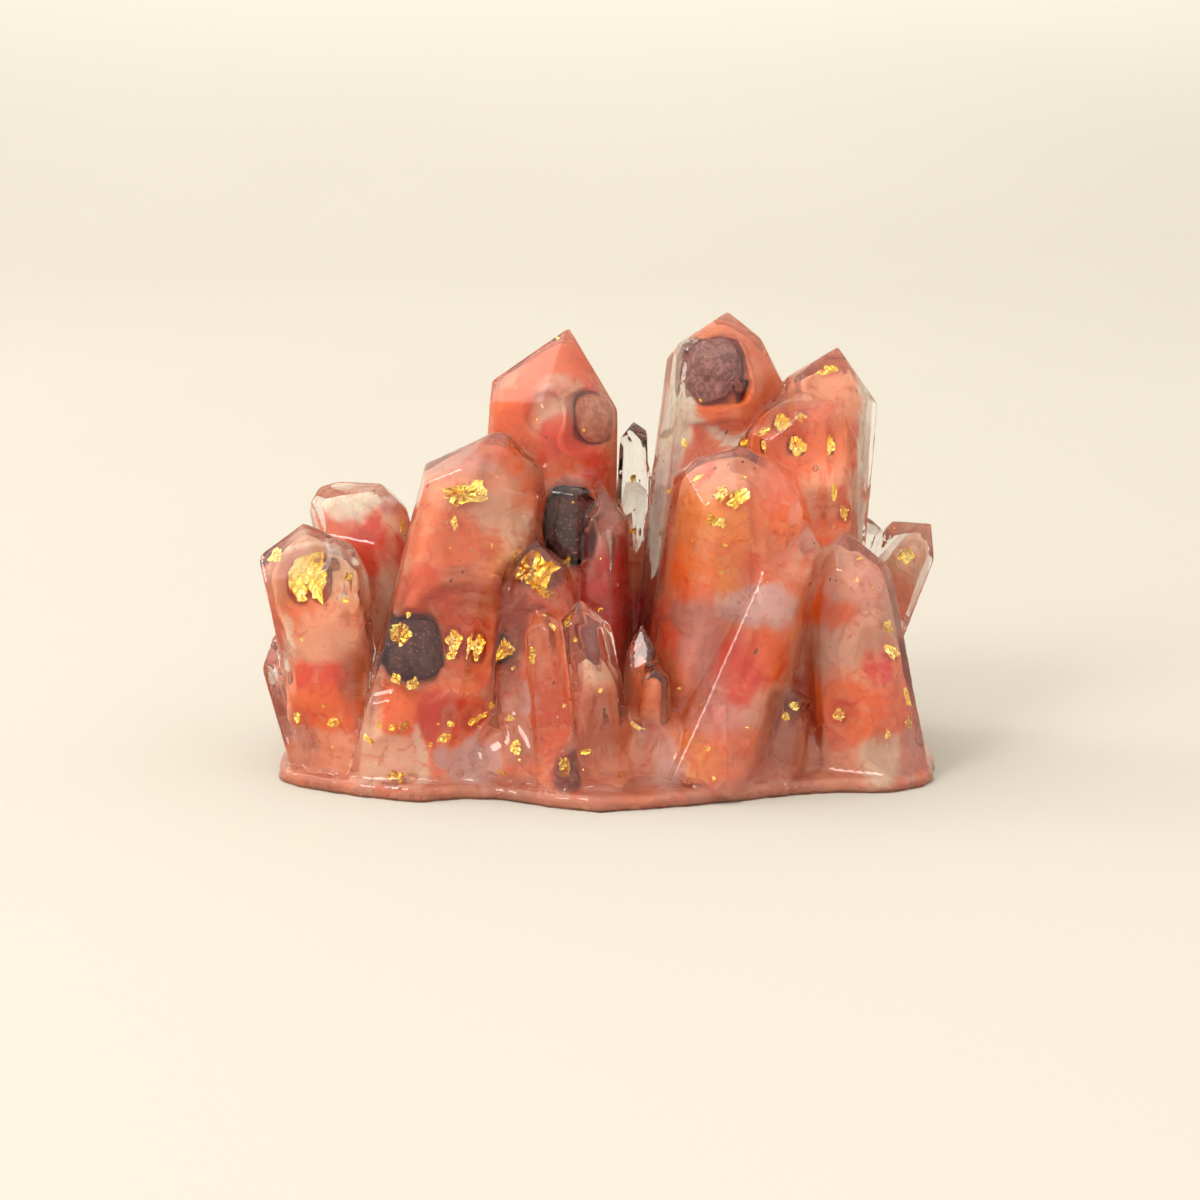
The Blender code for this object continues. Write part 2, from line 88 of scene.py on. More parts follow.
@dataclass
class Crystal:
    """One six-sided point. Its axis runs from root to tip, and azimuths turn about that axis from +X."""
    name: str
    tip: tuple                 # the highest point
    root: tuple                # where the axis enters the mound
    half: tuple                # half width along X and half depth along Y, at the shoulder
    spin: float                # azimuth of the first side
    flare: float               # how much each side spreads for each millimetre down
    slope: float = 0.0         # slope of the end facets where caps is empty
    seed: int = 0              # picks the end facets where caps is empty
    shift: tuple = (0.0, 0.0)  # the prism's centre, off the axis
    caps: tuple = ()           # end facets: azimuth, slope in degrees, how far above the tip they pass


# The points that the front view shows, from the left
FRONT_CRYSTALS = (
    Crystal("left_blunt", (-39.2, -4, 32.2), (-31.6, -11, -0.5), (5.4, 5.8), 5, 0, shift=(-0.9, 0), caps=(
        (180, 24, 0), (180, 60, 7.3), (-110, 50, 0.4), (-50, 48, 0.6), (0, 40, 1), (60, 45, 0.6),
        (120, 45, 0.4))),
    Crystal("left_blunt_twin", (-34.2, -6, 31), (-31.8, -12, -0.5), (3.7, 4.4), 20, 0, shift=(-0.2, 0), caps=(
        (0, 30, 0), (0, 66, 3.2), (-65, 50, 0.2), (-125, 45, 0.2), (180, 30, 0.3), (60, 50, 0.5),
        (120, 45, 0.5))),
    Crystal("left_low", (-42.8, -6, 18), (-37.4, -9, -0.5), (2.9, 3.8), 0, 0, shift=(0.2, 0), caps=(
        (180, 58, 0), (-90, 50, 0.4), (0, 30, 0), (90, 48, 0.6))),
    Crystal("left_rear", (-35.6, 10.6, 35.6), (-26, 4, -2.5), (6.5, 6), 10, 0.02, shift=(1.8, 0), caps=(
        (180, 3, 0), (180, 48, 2.8), (-90, 54, 0), (0, 17, 0), (0, 57, 7), (80, 46, 0.8))),
    Crystal("left_large", (-13.4, -4, 44.7), (-23.6, -12, -0.7), (7.9, 7.7), 12, 0.035,
            shift=(-0.2, 0), caps=(
        (-155, 43, 0), (-102, 38, 0), (-42, 50, 1.4), (8, 2, 0), (8, 37, 2.2), (70, 45, 0.5),
        (125, 45, 0.4))),
    Crystal("tall_left", (-4.4, 9, 56.5), (-6.6, 1, -3.9), (8.5, 8.8), 0, 0.03, shift=(-1.3, 0), caps=(
        (-118, 47, 0), (-58, 58, 0.2), (0, 57, 0.5), (60, 52, 0.8), (120, 46, 0.4), (178, 37, 0))),
    Crystal("middle_dark", (-4.2, 1.6, 41.2), (-5.4, -2.5, -2.8), (4.7, 6.2), 10, 0.04, shift=(0.2, 0), caps=(
        (180, 32, 0), (-100, 40, 0), (-50, 44, 0.4), (5, 34, 0), (5, 60, 3.6), (90, 50, 0.6))),
    Crystal("middle_small", (0.7, -2, 36.2), (-1.3, -6, -1.1), (3, 3.4), 25, 0.05, caps=(
        (-130, 42, 0), (-60, 52, 0.3), (0, 50, 0.3), (90, 50, 0.2), (160, 50, 0.2))),
    Crystal("middle_broad", (-9.8, -8, 31.8), (-6, -13.5, -0.1), (4.6, 4.8), 0, 0.14, shift=(0.6, 0), caps=(
        (-140, 56, 0), (-70, 44, 0), (-10, 46, 0.6), (60, 50, 0.6), (170, 62, 0.2))),
    Crystal("small_clear", (4.6, 15, 43.2), (4.2, 10, 2), (2, 2.4), 0, 0.05, 50, 3),
    Crystal("tall_right", (17.2, 11.6, 58.5), (13.7, 5.6, -4.4), (7.9, 7.8), 8, 0.06, shift=(0.4, 0), caps=(
        (-150, 32, 0), (-78, 47, 0), (-10, 34, 0), (-5, 60, 4.9), (45, 52, 0.9), (95, 44, 0.2),
        (165, 40, 0.3))),
    Crystal("far_right", (31.8, 8, 54.2), (27.6, 4, -3.9), (6.1, 6.3), 18, 0, shift=(-1, 0), caps=(
        (-160, 32, 0), (-92, 48, 0), (-30, 52, 0.1), (20, 54, 0), (90, 50, 0.3), (150, 42, 0.2))),
    Crystal("right_inner", (25.2, 1, 49.7), (26, -3, -1.9), (6.9, 6.8), 25, 0.012, shift=(0.7, 0), caps=(
        (-140, 44, 0), (-95, 34, 0.4), (-10, 20, 0), (5, 62, 8.9), (90, 45, 0.5), (170, 30, 0),
        (170, 54, 2.5))),
    Crystal("right_round", (18.2, -7, 43.2), (12.6, -7, -1.1), (9, 7.8), 30, 0.01, shift=(1.4, 0.6), caps=(
        (180, 24, 0), (180, 50, 4.2), (-125, 46, 1), (-80, 36, 0.2), (-35, 40, 2.6), (-10, 18, 0),
        (-5, 62, 10.5), (60, 40, 0.8), (120, 42, 0.8))),
    Crystal("right_blade", (26.4, -8.4, 33.4), (14.6, -15, 0.7), (3.6, 5.2), 20, 0.1, shift=(-0.4, 0), caps=(
        (-165, 60, 0), (-100, 46, 0.6), (-20, 40, 0.6), (40, 60, 0.8), (110, 50, 0.5))),
    Crystal("right_large", (30.8, -5.2, 31.6), (34.2, -10.4, -0.4), (5.4, 4.9), 12, 0.075,
            shift=(0.8, 0), caps=(
        (-130, 50, 0.2), (-75, 46, 0), (-20, 40, 0.8), (8, 52, 2.2), (70, 50, 0.8), (165, 56, 0.3))),
    Crystal("right_outer", (44.7, 9.4, 30), (32.4, 4, -1.8), (4.3, 4.4), 12, 0, shift=(-2.2, 0), caps=(
        (180, 17, 0), (180, 62, 7.6), (-100, 50, 0.6), (-50, 60, 1), (0, 66, 0.6), (60, 56, 0.6),
        (120, 46, 1))),
    Crystal("right_clear", (35.6, 13, 30.9), (31.6, 7, -2.3), (3.9, 4.2), 0, 0.03, 42, 8),
)

# Low points and slabs along the front of the foot, from the left
FOOT_CRYSTALS = (
    Crystal("foot_left", (-25.8, -13.4, 15.2), (-27, -16, 0), (4.2, 3.8), 20, 0.05, caps=(
        (-120, 46, 0), (-50, 56, 0.2), (10, 56, 0.4), (90, 50, 0.6), (170, 60, 0.6))),
    Crystal("foot_left_blade", (-32.6, -13.5, 8), (-33.4, -15.6, 0), (1.7, 2.2), 30, 0.02, 40, 5),
    Crystal("foot_bump", (-19.6, -13, 13.6), (-19.6, -16, 0), (3.6, 3.6), 0, 0.1, 30, 2),
    Crystal("foot_slab", (-19.5, -15.4, 8), (-13.6, -19.4, 0.4), (1.7, 1.6), 18, 0, 30, 4),
    Crystal("foot_slab_low", (-18.8, -17.4, 4.8), (-14.6, -20, 0.4), (1.4, 1.2), 10, 0, 25, 9),
    Crystal("foot_chip", (-11.6, -16, 10.6), (-9.2, -19.2, 3), (1.9, 1.5), 35, 0, 30, 6),
    Crystal("twin_left", (-7.4, -15, 23.2), (-4.4, -21, 0), (2.5, 2.8), 5, 0.05, shift=(0.1, 0), caps=(
        (-120, 40, 0.2), (-50, 46, 0.3), (10, 42, 0.2), (90, 48, 0.3), (170, 55, 0.3))),
    Crystal("twin_right", (-2.6, -15.4, 24.7), (0.8, -20.6, 0), (3, 3), 22, 0.05, shift=(0.2, 0), caps=(
        (-140, 42, 0), (-75, 50, 0.1), (-10, 48, 0.2), (40, 58, 0.4), (110, 50, 0.3), (170, 45, 0.3))),
    Crystal("valley_spike", (5.4, -11, 20.6), (5.8, -13.5, 0), (1.9, 2.2), 15, 0.08, 62, 7),
    Crystal("valley_chip", (7, -14.2, 16.3), (6.2, -16.5, 0), (2.3, 2.2), 40, 0.06, 40, 1),
    Crystal("foot_fold", (24.8, -12.8, 12.8), (22.2, -16.4, 0), (2.7, 3.2), 30, 0.05, 30, 11),
    Crystal("foot_right", (36.8, -11.4, 8.4), (37.6, -13, 0), (2.6, 3.2), 10, 0.06, 34, 12),
)

# Points on the back and the ends, which the front view hides
REAR_CRYSTALS = (
    Crystal("rear_left", (-20, 19, 31), (-15, 10, -2), (5.8, 5.6), 10, 0.03, 50, 21),
    Crystal("rear_middle", (-7, 22, 37.5), (-5.5, 11, -2), (5.6, 5.2), 35, 0.03, 46, 22),
    Crystal("rear_right", (10.4, 21, 33), (8, 11, -2), (5.4, 5.2), 22, 0.03, 50, 23),
    Crystal("rear_far_right", (23, 19, 38), (19.5, 11, -2), (5.6, 5.4), 0, 0.03, 48, 24),
    Crystal("rear_corner_left", (-31, 17.6, 20.5), (-25, 10, -2), (4.6, 4.4), 15, 0.04, 46, 25),
    Crystal("rear_corner_right", (34, 17.6, 20), (28, 11, -2), (4.4, 4.4), 40, 0.04, 44, 26),
    Crystal("rear_low_1", (-24, 23, 13.5), (-21, 17, -1), (3.3, 3.2), 20, 0.05, 44, 27),
    Crystal("rear_low_2", (-13.6, 24.4, 17), (-12, 18, -1), (3.7, 3.4), 5, 0.05, 48, 28),
    Crystal("rear_low_3", (1.6, 25, 19), (1.4, 17, -1), (4.1, 3.6), 30, 0.05, 50, 29),
    Crystal("rear_low_4", (17, 24, 15.5), (15, 18, -1), (3.6, 3.2), 12, 0.05, 42, 30),
    Crystal("rear_low_5", (27, 22.4, 12), (23.5, 17, -1), (3.1, 3), 45, 0.05, 46, 31),
    Crystal("end_left", (-40.6, 6.5, 15), (-34, 4, -1), (3.6, 3.8), 10, 0.03, 44, 32),
    Crystal("end_right", (38.4, 3.4, 15), (34, 3, -1), (3.3, 3.8), 25, 0.03, 46, 33),
)

# Noise and fields


def noise(points, scale, seed):
    """Smooth noise from -1 to 1, one value for each point. Its lumps are about the scale in size."""
    table = np.random.default_rng(seed).uniform(-1.0, 1.0, (NOISE_CELLS,) * 3).astype(np.float32)
    p = np.asarray(points, np.float32) / scale + 100.0
    low = np.floor(p).astype(np.int64)
    t = p - low
    t = t * t * (3.0 - 2.0 * t)
    low &= NOISE_CELLS - 1
    high = (low + 1) & (NOISE_CELLS - 1)
    total = 0.0
    for corner in itertools.product((0, 1), repeat=3):
        ix, iy, iz = ((high if up else low)[..., i] for i, up in enumerate(corner))
        wx, wy, wz = (t[..., i] if up else 1 - t[..., i] for i, up in enumerate(corner))
        total = total + table[ix, iy, iz] * wx * wy * wz
    return total


AXES = [np.arange(lo, hi, GRID_STEP, dtype=np.float32) for lo, hi in zip(GRID_LOW, GRID_HIGH)]
SHAPE = tuple(len(axis) for axis in AXES)


def window(low, high):
    """The part of the grid between two corners: slices, and the points there."""
    cut = []
    for axis, a, b in zip(AXES, low, high):
        first = max(0, int(np.searchsorted(axis, a)))
        last = min(len(axis), int(np.searchsorted(axis, b)) + 1)
        cut.append(slice(first, max(first + 1, last)))
    grids = np.meshgrid(*[axis[c] for axis, c in zip(AXES, cut)], indexing='ij')
    return tuple(cut), np.stack(grids, -1)


def grid_below(height=EVERYWHERE):
    """The part of the grid below a height, or all of it."""
    return window((-EVERYWHERE,) * 3, (EVERYWHERE, EVERYWHERE, height))


def soft_max(values, sharpness):
    """The largest of the last axis, rounded where two are nearly the same."""
    peak = values.max(-1)
    return peak + np.log(np.exp(sharpness * (values - peak[..., None])).sum(-1)) / sharpness


def crystal_planes(spec):
    """A point and an outward direction for each flat of a crystal, as the solids have them."""
    tip, root = Vector(spec.tip), Vector(spec.root)
    along = (tip - root).normalized()
    across = (Vector((1.0, 0.0, 0.0)) - along * along.x).normalized()
    back = along.cross(across)

    def outward(azimuth):
        turn = math.radians(azimuth)
        return across * math.cos(turn) + back * math.sin(turn)

    centre = tip - along * spec.half[0] + across * spec.shift[0] + back * spec.shift[1]
    rng = random.Random(spec.name)
    planes = []
    for side in range(SIDES):
        azimuth = spec.spin + 360 / SIDES * side + rng.uniform(-5.0, 5.0)
        way = outward(azimuth)
        turn = math.radians(azimuth)
        reach = math.hypot(spec.half[0] * math.cos(turn), spec.half[1] * math.sin(turn))
        reach *= rng.uniform(0.93, 1.0)
        planes.append((centre + way * reach, (way + along * spec.flare).normalized()))
    caps = spec.caps
    if not caps:
        rng = random.Random(spec.seed)
        lead = rng.randrange(SIDES)
        caps = []
        for side in range(SIDES):
            lift = 0.0 if (side - lead) % 2 == 0 else rng.uniform(0.3, 1.6)
            caps.append((spec.spin + 360 / SIDES * side, spec.slope + rng.uniform(-7.0, 7.0), lift))
    for azimuth, slope, lift in caps:
        tilt = math.radians(slope)
        planes.append((tip + along * lift, along * math.cos(tilt) + outward(azimuth) * math.sin(tilt)))
    planes.append((root - along, -along))
    return planes


def corner_points(planes):
    """The corners where three flats meet, to know how far a crystal reaches."""
    normals = np.array([n for _, n in planes])
    offsets = np.array([p.dot(n) for p, n in planes])
    found = []
    for i in range(len(planes)):
        for j in range(i + 1, len(planes)):
            for k in range(j + 1, len(planes)):
                rows = [i, j, k]
                if abs(np.linalg.det(normals[rows])) < 1e-6:
                    continue
                corner = np.linalg.solve(normals[rows], offsets[rows])
                if (normals @ corner - offsets < 1e-3).all():
                    found.append(corner)
    return np.array(found)


def outline_points(corners, steps=6):
    """The skirt's edge as a smooth closed line through its corners."""
    pts = np.array(corners)
    before, after, beyond = np.roll(pts, 1, 0), np.roll(pts, -1, 0), np.roll(pts, -2, 0)
    rows = []
    for i in range(steps):
        t = i / steps
        bend = (2 * before - 5 * pts + 4 * after - beyond) * t ** 2
        twist = (3 * pts - before - 3 * after + beyond) * t ** 3
        rows.append(0.5 * (2 * pts + (after - before) * t + bend + twist))
    return np.stack(rows, 1).reshape(-1, 2)


def plan_distance(grid, edge):
    """Signed distance in plan from each grid column to the edge line, negative inside."""
    ahead = np.roll(edge, -1, 0)
    best = np.full(grid.shape[:-1], 1e9, np.float32)
    inside = np.zeros(grid.shape[:-1], bool)
    for a, b in zip(edge, ahead):
        run = b - a
        t = np.clip(((grid - a) @ run) / (run @ run), 0, 1)
        best = np.minimum(best, np.linalg.norm(grid - a - t[..., None] * run, axis=-1))
        crosses = (a[1] > grid[..., 1]) != (b[1] > grid[..., 1])
        rise = b[1] - a[1] if abs(b[1] - a[1]) > 1e-9 else 1e-9
        inside ^= crosses & (grid[..., 0] < (b[0] - a[0]) * (grid[..., 1] - a[1]) / rise + a[0])
    return np.where(inside, -best, best)


def casting_field():
    """Signed distance to the whole casting's surface on the grid, negative inside, and its gradient."""
    total = np.full(SHAPE, 1e-25, np.float32)
    slope = np.zeros((*SHAPE, 3), np.float32)

    def add(cut, distance, rise=None):
        if rise is None:
            rise = np.stack(np.gradient(distance, GRID_STEP), -1).astype(np.float32)
        share = np.exp(-JOINT_SHARPNESS * np.clip(distance, -FAR, FAR))
        total[cut] += share
        slope[cut] += share[..., None] * rise

    for spec in FRONT_CRYSTALS + FOOT_CRYSTALS + REAR_CRYSTALS:
        planes = crystal_planes(spec)
        corners = corner_points(planes)
        cut, points = window(corners.min(0) - 3, corners.max(0) + 3)
        normals = np.array([n for _, n in planes], np.float32)
        offsets = np.array([p.dot(n) for p, n in planes], np.float32)
        distance = points @ normals.T - offsets
        peak = distance.max(-1, keepdims=True)
        shares = np.exp(EDGE_SHARPNESS * (distance - peak))
        whole = shares.sum(-1, keepdims=True)
        add(cut, (peak + np.log(whole) / EDGE_SHARPNESS)[..., 0], (shares / whole) @ normals)

    cut, points = grid_below(MOUND_HEIGHT + 4)
    power = 2 / MOUND_FULLNESS
    flat = np.hypot(points[..., 0] / MOUND_HALF_LENGTH, (points[..., 1] - MOUND_SHIFT_Y) / MOUND_HALF_DEPTH)
    spread = (flat ** power + np.abs(points[..., 2] / MOUND_HEIGHT) ** power) ** (1 / power)
    add(cut, (spread - 1.0) * MOUND_SCALE + 0.45 * noise(points, 6.0, 5))

    cut, points = grid_below(SKIRT_THICKNESS + 4)
    edge = plan_distance(points[:, :, 0, :2], outline_points(SKIRT_EDGE))[:, :, None]
    edge = edge + 0.3 * noise(points, 3.0, 9) + 0.16 * noise(points, 1.3, 10)
    top = points[..., 2] - SKIRT_THICKNESS - 0.25 * noise(points, 5.0, 8)
    add(cut, soft_max(np.stack([edge, top], -1), SKIRT_SHARPNESS))

    field = -np.log(total) / JOINT_SHARPNESS
    slope /= total[..., None]
    _, points = grid_below()
    near = np.abs(field) < 3
    field[near] += 0.05 * noise(points[near], 6.0, 1) + 0.02 * noise(points[near], 2.4, 2)
    floor = -points[..., 2]
    below = 1 / (1 + np.exp(np.clip(FOOT_SHARPNESS * (field - floor), -40, 40)))[..., None]
    slope = slope * (1 - below) + np.array((0.0, 0.0, -1.0), np.float32) * below
    return soft_max(np.stack([field, floor], -1), FOOT_SHARPNESS), slope


def level_surface(field, slope=None):
    """The zero level of a field on the grid as points and four-sided faces, which look outwards. With the
    gradient given, the points are drawn to where the flats around them meet, so edges stay crisp."""
    inside = field < 0
    cells = tuple(n - 1 for n in SHAPE)
    keys, values, leans, crossings = [], [], [], []
    for axis in range(3):
        near, far = [slice(None)] * 3, [slice(None)] * 3
        near[axis], far[axis] = slice(0, -1), slice(1, None)
        near, far = tuple(near), tuple(far)
        crossing = np.argwhere(inside[near] != inside[far])
        spot = tuple(crossing.T)
        share = field[near][spot] / (field[near][spot] - field[far][spot])
        place = crossing.astype(np.float64)
        place[:, axis] += share
        around = []
        for step in ((-1, -1), (0, -1), (0, 0), (-1, 0)):
            cell = crossing.copy()
            cell[:, [i for i in range(3) if i != axis]] += step
            around.append(cell)
        whole = np.all([((cell >= 0) & (cell < cells)).all(1) for cell in around], 0)
        flat = [np.ravel_multi_index(cell[whole].T, cells) for cell in around]
        spot = tuple(crossing[whole].T)
        keys += flat
        values += [place[whole]] * 4
        if slope is not None:
            share = share[whole, None]
            lean = slope[near][spot] * (1 - share) + slope[far][spot] * share
            lean /= np.linalg.norm(lean, axis=1, keepdims=True) + 1e-9
            leans += [lean] * 4
        crossings.append((np.stack(flat, 1), inside[near][spot] ^ (axis == 1)))
    values = np.concatenate(values)
    found, where = np.unique(np.concatenate(keys), return_inverse=True)

    def total(numbers):
        """One sum for each cell."""
        return np.bincount(where, weights=numbers)

    points = np.stack([total(column) for column in values.T], 1) / np.bincount(where)[:, None]
    if slope is not None:
        leans = np.concatenate(leans)
        short = ((values - points[where]) * leans).sum(1)
        pull = np.stack([total(column * short) for column in leans.T], 1)
        grip = np.stack([total(a * b) for a in leans.T for b in leans.T], 1).reshape(-1, 3, 3)
        grip[:, range(3), range(3)] += HOLD
        points += np.clip(np.linalg.solve(grip, pull[..., None])[..., 0], -LONGEST_PULL, LONGEST_PULL)
    faces = []
    for index, flip in crossings:
        quad = np.searchsorted(found, index)
        quad[~flip] = quad[~flip][:, ::-1]
        faces.append(quad)
    return points * GRID_STEP + np.array([axis[0] for axis in AXES]), np.concatenate(faces)


# Meshes


def place_in_scene(name, data):
    thing = bpy.data.objects.new(name, data)
    bpy.context.scene.collection.objects.link(thing)
    return thing


def mesh_object(name, points, faces):
    """A new object from points in millimetres and faces that all have the same number of corners."""
    points = np.asarray(points, np.float32) * MM
    faces = np.asarray(faces, np.int32)
    mesh = bpy.data.meshes.new(name)
    mesh.vertices.add(len(points))
    mesh.vertices.foreach_set("co", points.ravel())
    corners = faces.shape[1]
    mesh.loops.add(faces.size)
    mesh.loops.foreach_set("vertex_index", faces.ravel())
    mesh.polygons.add(len(faces))
    mesh.polygons.foreach_set("loop_start", np.arange(0, faces.size, corners, dtype=np.int32))
    mesh.update(calc_edges=True)
    mesh.validate()
    mesh.shade_smooth()
    return place_in_scene(name, mesh)


def thin_out(thing, triangles):
    """Fewer triangles, with flat places thinned the most."""
    now = sum(len(face.vertices) - 2 for face in thing.data.polygons)
    if now <= triangles:
        return
    step = thing.modifiers.new("fewer", 'DECIMATE')
    step.ratio = triangles / now
    step.use_collapse_triangulate = True
    graph = bpy.context.evaluated_depsgraph_get()
    mesh = bpy.data.meshes.new_from_object(thing.evaluated_get(graph))
    thing.modifiers.clear()
    old = thing.data
    thing.data = mesh
    bpy.data.meshes.remove(old)


def mesh_points(thing):
    """An object's points, in millimetres."""
    co = np.zeros(len(thing.data.vertices) * 3, np.float32)
    thing.data.vertices.foreach_get("co", co)
    return co.reshape(-1, 3) / MM


def finish_piece(thing, look):
    """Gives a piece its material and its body."""
    thing.data.materials.append(look)
    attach(thing, "root")


# Looks


def linear(r, g, b):
    """A colour in linear light from its 0 to 255 values."""
    def one(v):
        v /= 255.0
        return v / 12.92 if v <= 0.04045 else ((v + 0.055) / 1.055) ** 2.4
    return (one(r), one(g), one(b))


COLOURS = {name: linear(*colour) for name, colour in {
    "orange": (255, 112, 22), "light_orange": (255, 152, 72), "red_orange": (240, 70, 24),
    "coral": (250, 130, 76), "salmon": (250, 166, 126), "peach": (248, 196, 164), "pink": (234, 150, 136),
    "mauve": (222, 150, 132), "tan": (236, 176, 146), "dusty": (218, 138, 108), "crimson": (244, 74, 64),
    "maroon": (130, 42, 30), "umber": (176, 72, 36), "rust": (228, 92, 30), "brown": (206, 104, 56),
    "white": (255, 240, 220), "lilac": (230, 184, 174), "milk": (244, 208, 180),
}.items()}


def fill(tree, sockets, values):
    """Sets or links each socket by its name, in which an underscore stands for a space."""
    for key, value in values.items():
        socket = sockets[key.replace("_", " ")]
        if isinstance(value, bpy.types.NodeSocket):
            tree.links.new(value, socket)
        else:
            socket.default_value = value


def eased(tree, value, low, high, a=0.0, b=1.0):
    """A smooth change from a to b as the value goes from low to high."""
    node = tree.nodes.new('ShaderNodeMapRange')
    node.interpolation_type = 'SMOOTHSTEP'
    fill(tree, node.inputs, {"From Min": low, "From Max": high, "To Min": a, "To Max": b, "Value": value})
    return node.outputs["Result"]


class Nodes:
    """Short ways to add nodes to a material."""

    def __init__(self, name):
        self.material = bpy.data.materials.new(name)
        self.material.use_nodes = True
        self.tree = self.material.node_tree
        self.shader = self.tree.nodes["Principled BSDF"]
        self.place = self.tree.nodes.new('ShaderNodeTexCoord').outputs["Object"]

    def add(self, kind, output, **values):
        node = self.tree.nodes.new('ShaderNode' + kind)
        fill(self.tree, node.inputs, values)
        return node.outputs[output]

    def set(self, **values):
        fill(self.tree, self.shader.inputs, values)

    def tint(self):
        """The colour that the mesh has at each point."""
        node = self.tree.nodes.new('ShaderNodeAttribute')
        node.attribute_name = "tint"
        return node.outputs["Color"]

    def noise(self, scale, detail=2.0, roughness=0.5, distortion=0.0):
        return self.add('TexNoise', "Fac", Vector=self.place, Scale=scale, Detail=detail,
                        Roughness=roughness, Distortion=distortion)

    def cells(self, scale):
        return self.add('TexVoronoi', "Distance", Vector=self.place, Scale=scale)

    def ramp(self, value, *ends):
        return eased(self.tree, value, *ends)

    def bump(self, height, distance, strength=1.0):
        self.set(Normal=self.add('Bump', "Normal", Strength=strength, Distance=distance, Height=height))

    def mix(self, share, a, b, blend='MIX'):
        node = self.tree.nodes.new('ShaderNodeMix')
        node.data_type = 'RGBA'
        node.blend_type = blend
        for i, value in ((0, share), (6, a), (7, b)):    # the sockets that a mix of colours uses
            if isinstance(value, bpy.types.NodeSocket):
                self.tree.links.new(value, node.inputs[i])
            else:
                node.inputs[i].default_value = (*value, 1.0) if isinstance(value, tuple) else value
        return node.outputs[2]


def resin_look():
    """Clear, with a slight warm tint that grows with depth."""
    n = Nodes("clear_resin")
    n.set(Base_Color=(1.0, 1.0, 1.0, 1.0), Transmission_Weight=1.0, IOR=1.5,
          Roughness=n.ramp(n.noise(260, 3.0), 0.35, 0.75, 0.02, 0.08))
    n.bump(n.noise(420, 3.0), 0.00004)
    body = n.add('VolumeAbsorption', "Volume", Color=(*linear(244, 186, 134), 1.0), Density=8.0)
    n.tree.links.new(body, n.tree.nodes["Material Output"].inputs["Volume"])
    return n.material


def cloud_look():
    """Pigment that is marbled with lighter, deeper and redder streaks and a few fine dark specks."""
    n = Nodes("colour_clouds")
    tone = n.tint()
    light = n.mix(0.3, tone, COLOURS["peach"])
    deep = n.mix(1.0, tone, linear(236, 190, 170), 'MULTIPLY')
    colour = n.mix(n.ramp(n.noise(230, 6.0, 0.62, 1.4), 0.48, 0.68), tone, light)
    colour = n.mix(n.ramp(n.noise(330, 6.0, 0.66, 2.0), 0.50, 0.70), colour, deep)
    colour = n.mix(n.ramp(n.noise(120, 4.0, 0.6, 2.6), 0.60, 0.66, 0.0, 0.35), colour, COLOURS["red_orange"])
    colour = n.mix(n.ramp(n.noise(1500, 2.0), 0.68, 0.74, 0.0, 0.4), colour, COLOURS["maroon"])
    n.set(Base_Color=colour, Roughness=0.6, Subsurface_Weight=0.45, Subsurface_Scale=0.004,
          Subsurface_Radius=(1.0, 0.5, 0.3))
    return n.material


def veil_look():
    """Thin wisps of colour that hang over the deeper clouds."""
    n = Nodes("colour_veils")
    colour = n.mix(n.ramp(n.noise(260, 3.0, 0.5, 0.6), 0.45, 0.7, 0.0, 0.3), n.tint(), COLOURS["peach"])
    cover = n.ramp(n.noise(105, 3.0, 0.5, 0.5), 0.40, 0.68, 0.0, 0.6)
    n.set(Base_Color=colour, Roughness=0.6, Alpha=cover)
    return n.material


def chip_look(name, dark, light):
    """A crumbly, grainy stone between two colours."""
    n = Nodes(name)
    colour = n.mix(n.ramp(n.noise(900, 6.0, 0.7), 0.35, 0.7), dark, light)
    colour = n.mix(n.ramp(n.cells(1700), 0.0, 0.28, 0.75, 0.0), colour, COLOURS["mauve"])
    n.set(Base_Color=colour, Roughness=n.ramp(n.noise(700), 0.3, 0.7, 0.5, 0.85))
    n.bump(n.noise(1400, 4.0, 0.7), 0.0002)
    return n.material


def foil_look():
    n = Nodes("gold_foil")
    colour = n.mix(n.ramp(n.noise(500, 2.0), 0.35, 0.7), (0.98, 0.62, 0.06), (1.0, 0.80, 0.24))
    n.set(Base_Color=colour, Metallic=1.0, Roughness=n.ramp(n.noise(1200, 3.0), 0.35, 0.7, 0.14, 0.38))
    n.bump(n.noise(1600, 3.0, 0.6), 0.00012)
    return n.material


def backdrop_look():
    n = Nodes("paper")
    height = n.add('SeparateXYZ', "Z", Vector=n.place)
    colour = n.mix(n.ramp(n.noise(3.0, 2.0), 0.3, 0.7), (0.515, 0.485, 0.42), (0.53, 0.50, 0.435))
    # The wall is painted lighter than the floor: painted light on the wall and painted shade on the floor,
    # which even out the lamps that light the floor more
    colour = n.mix(n.ramp(height, 0.0, 0.30), colour, (0.79, 0.765, 0.69))
    n.set(Base_Color=colour, Roughness=0.9)
    n.bump(n.noise(900, 2.0), 0.0001, 0.3)
    return n.material


# Colour inside


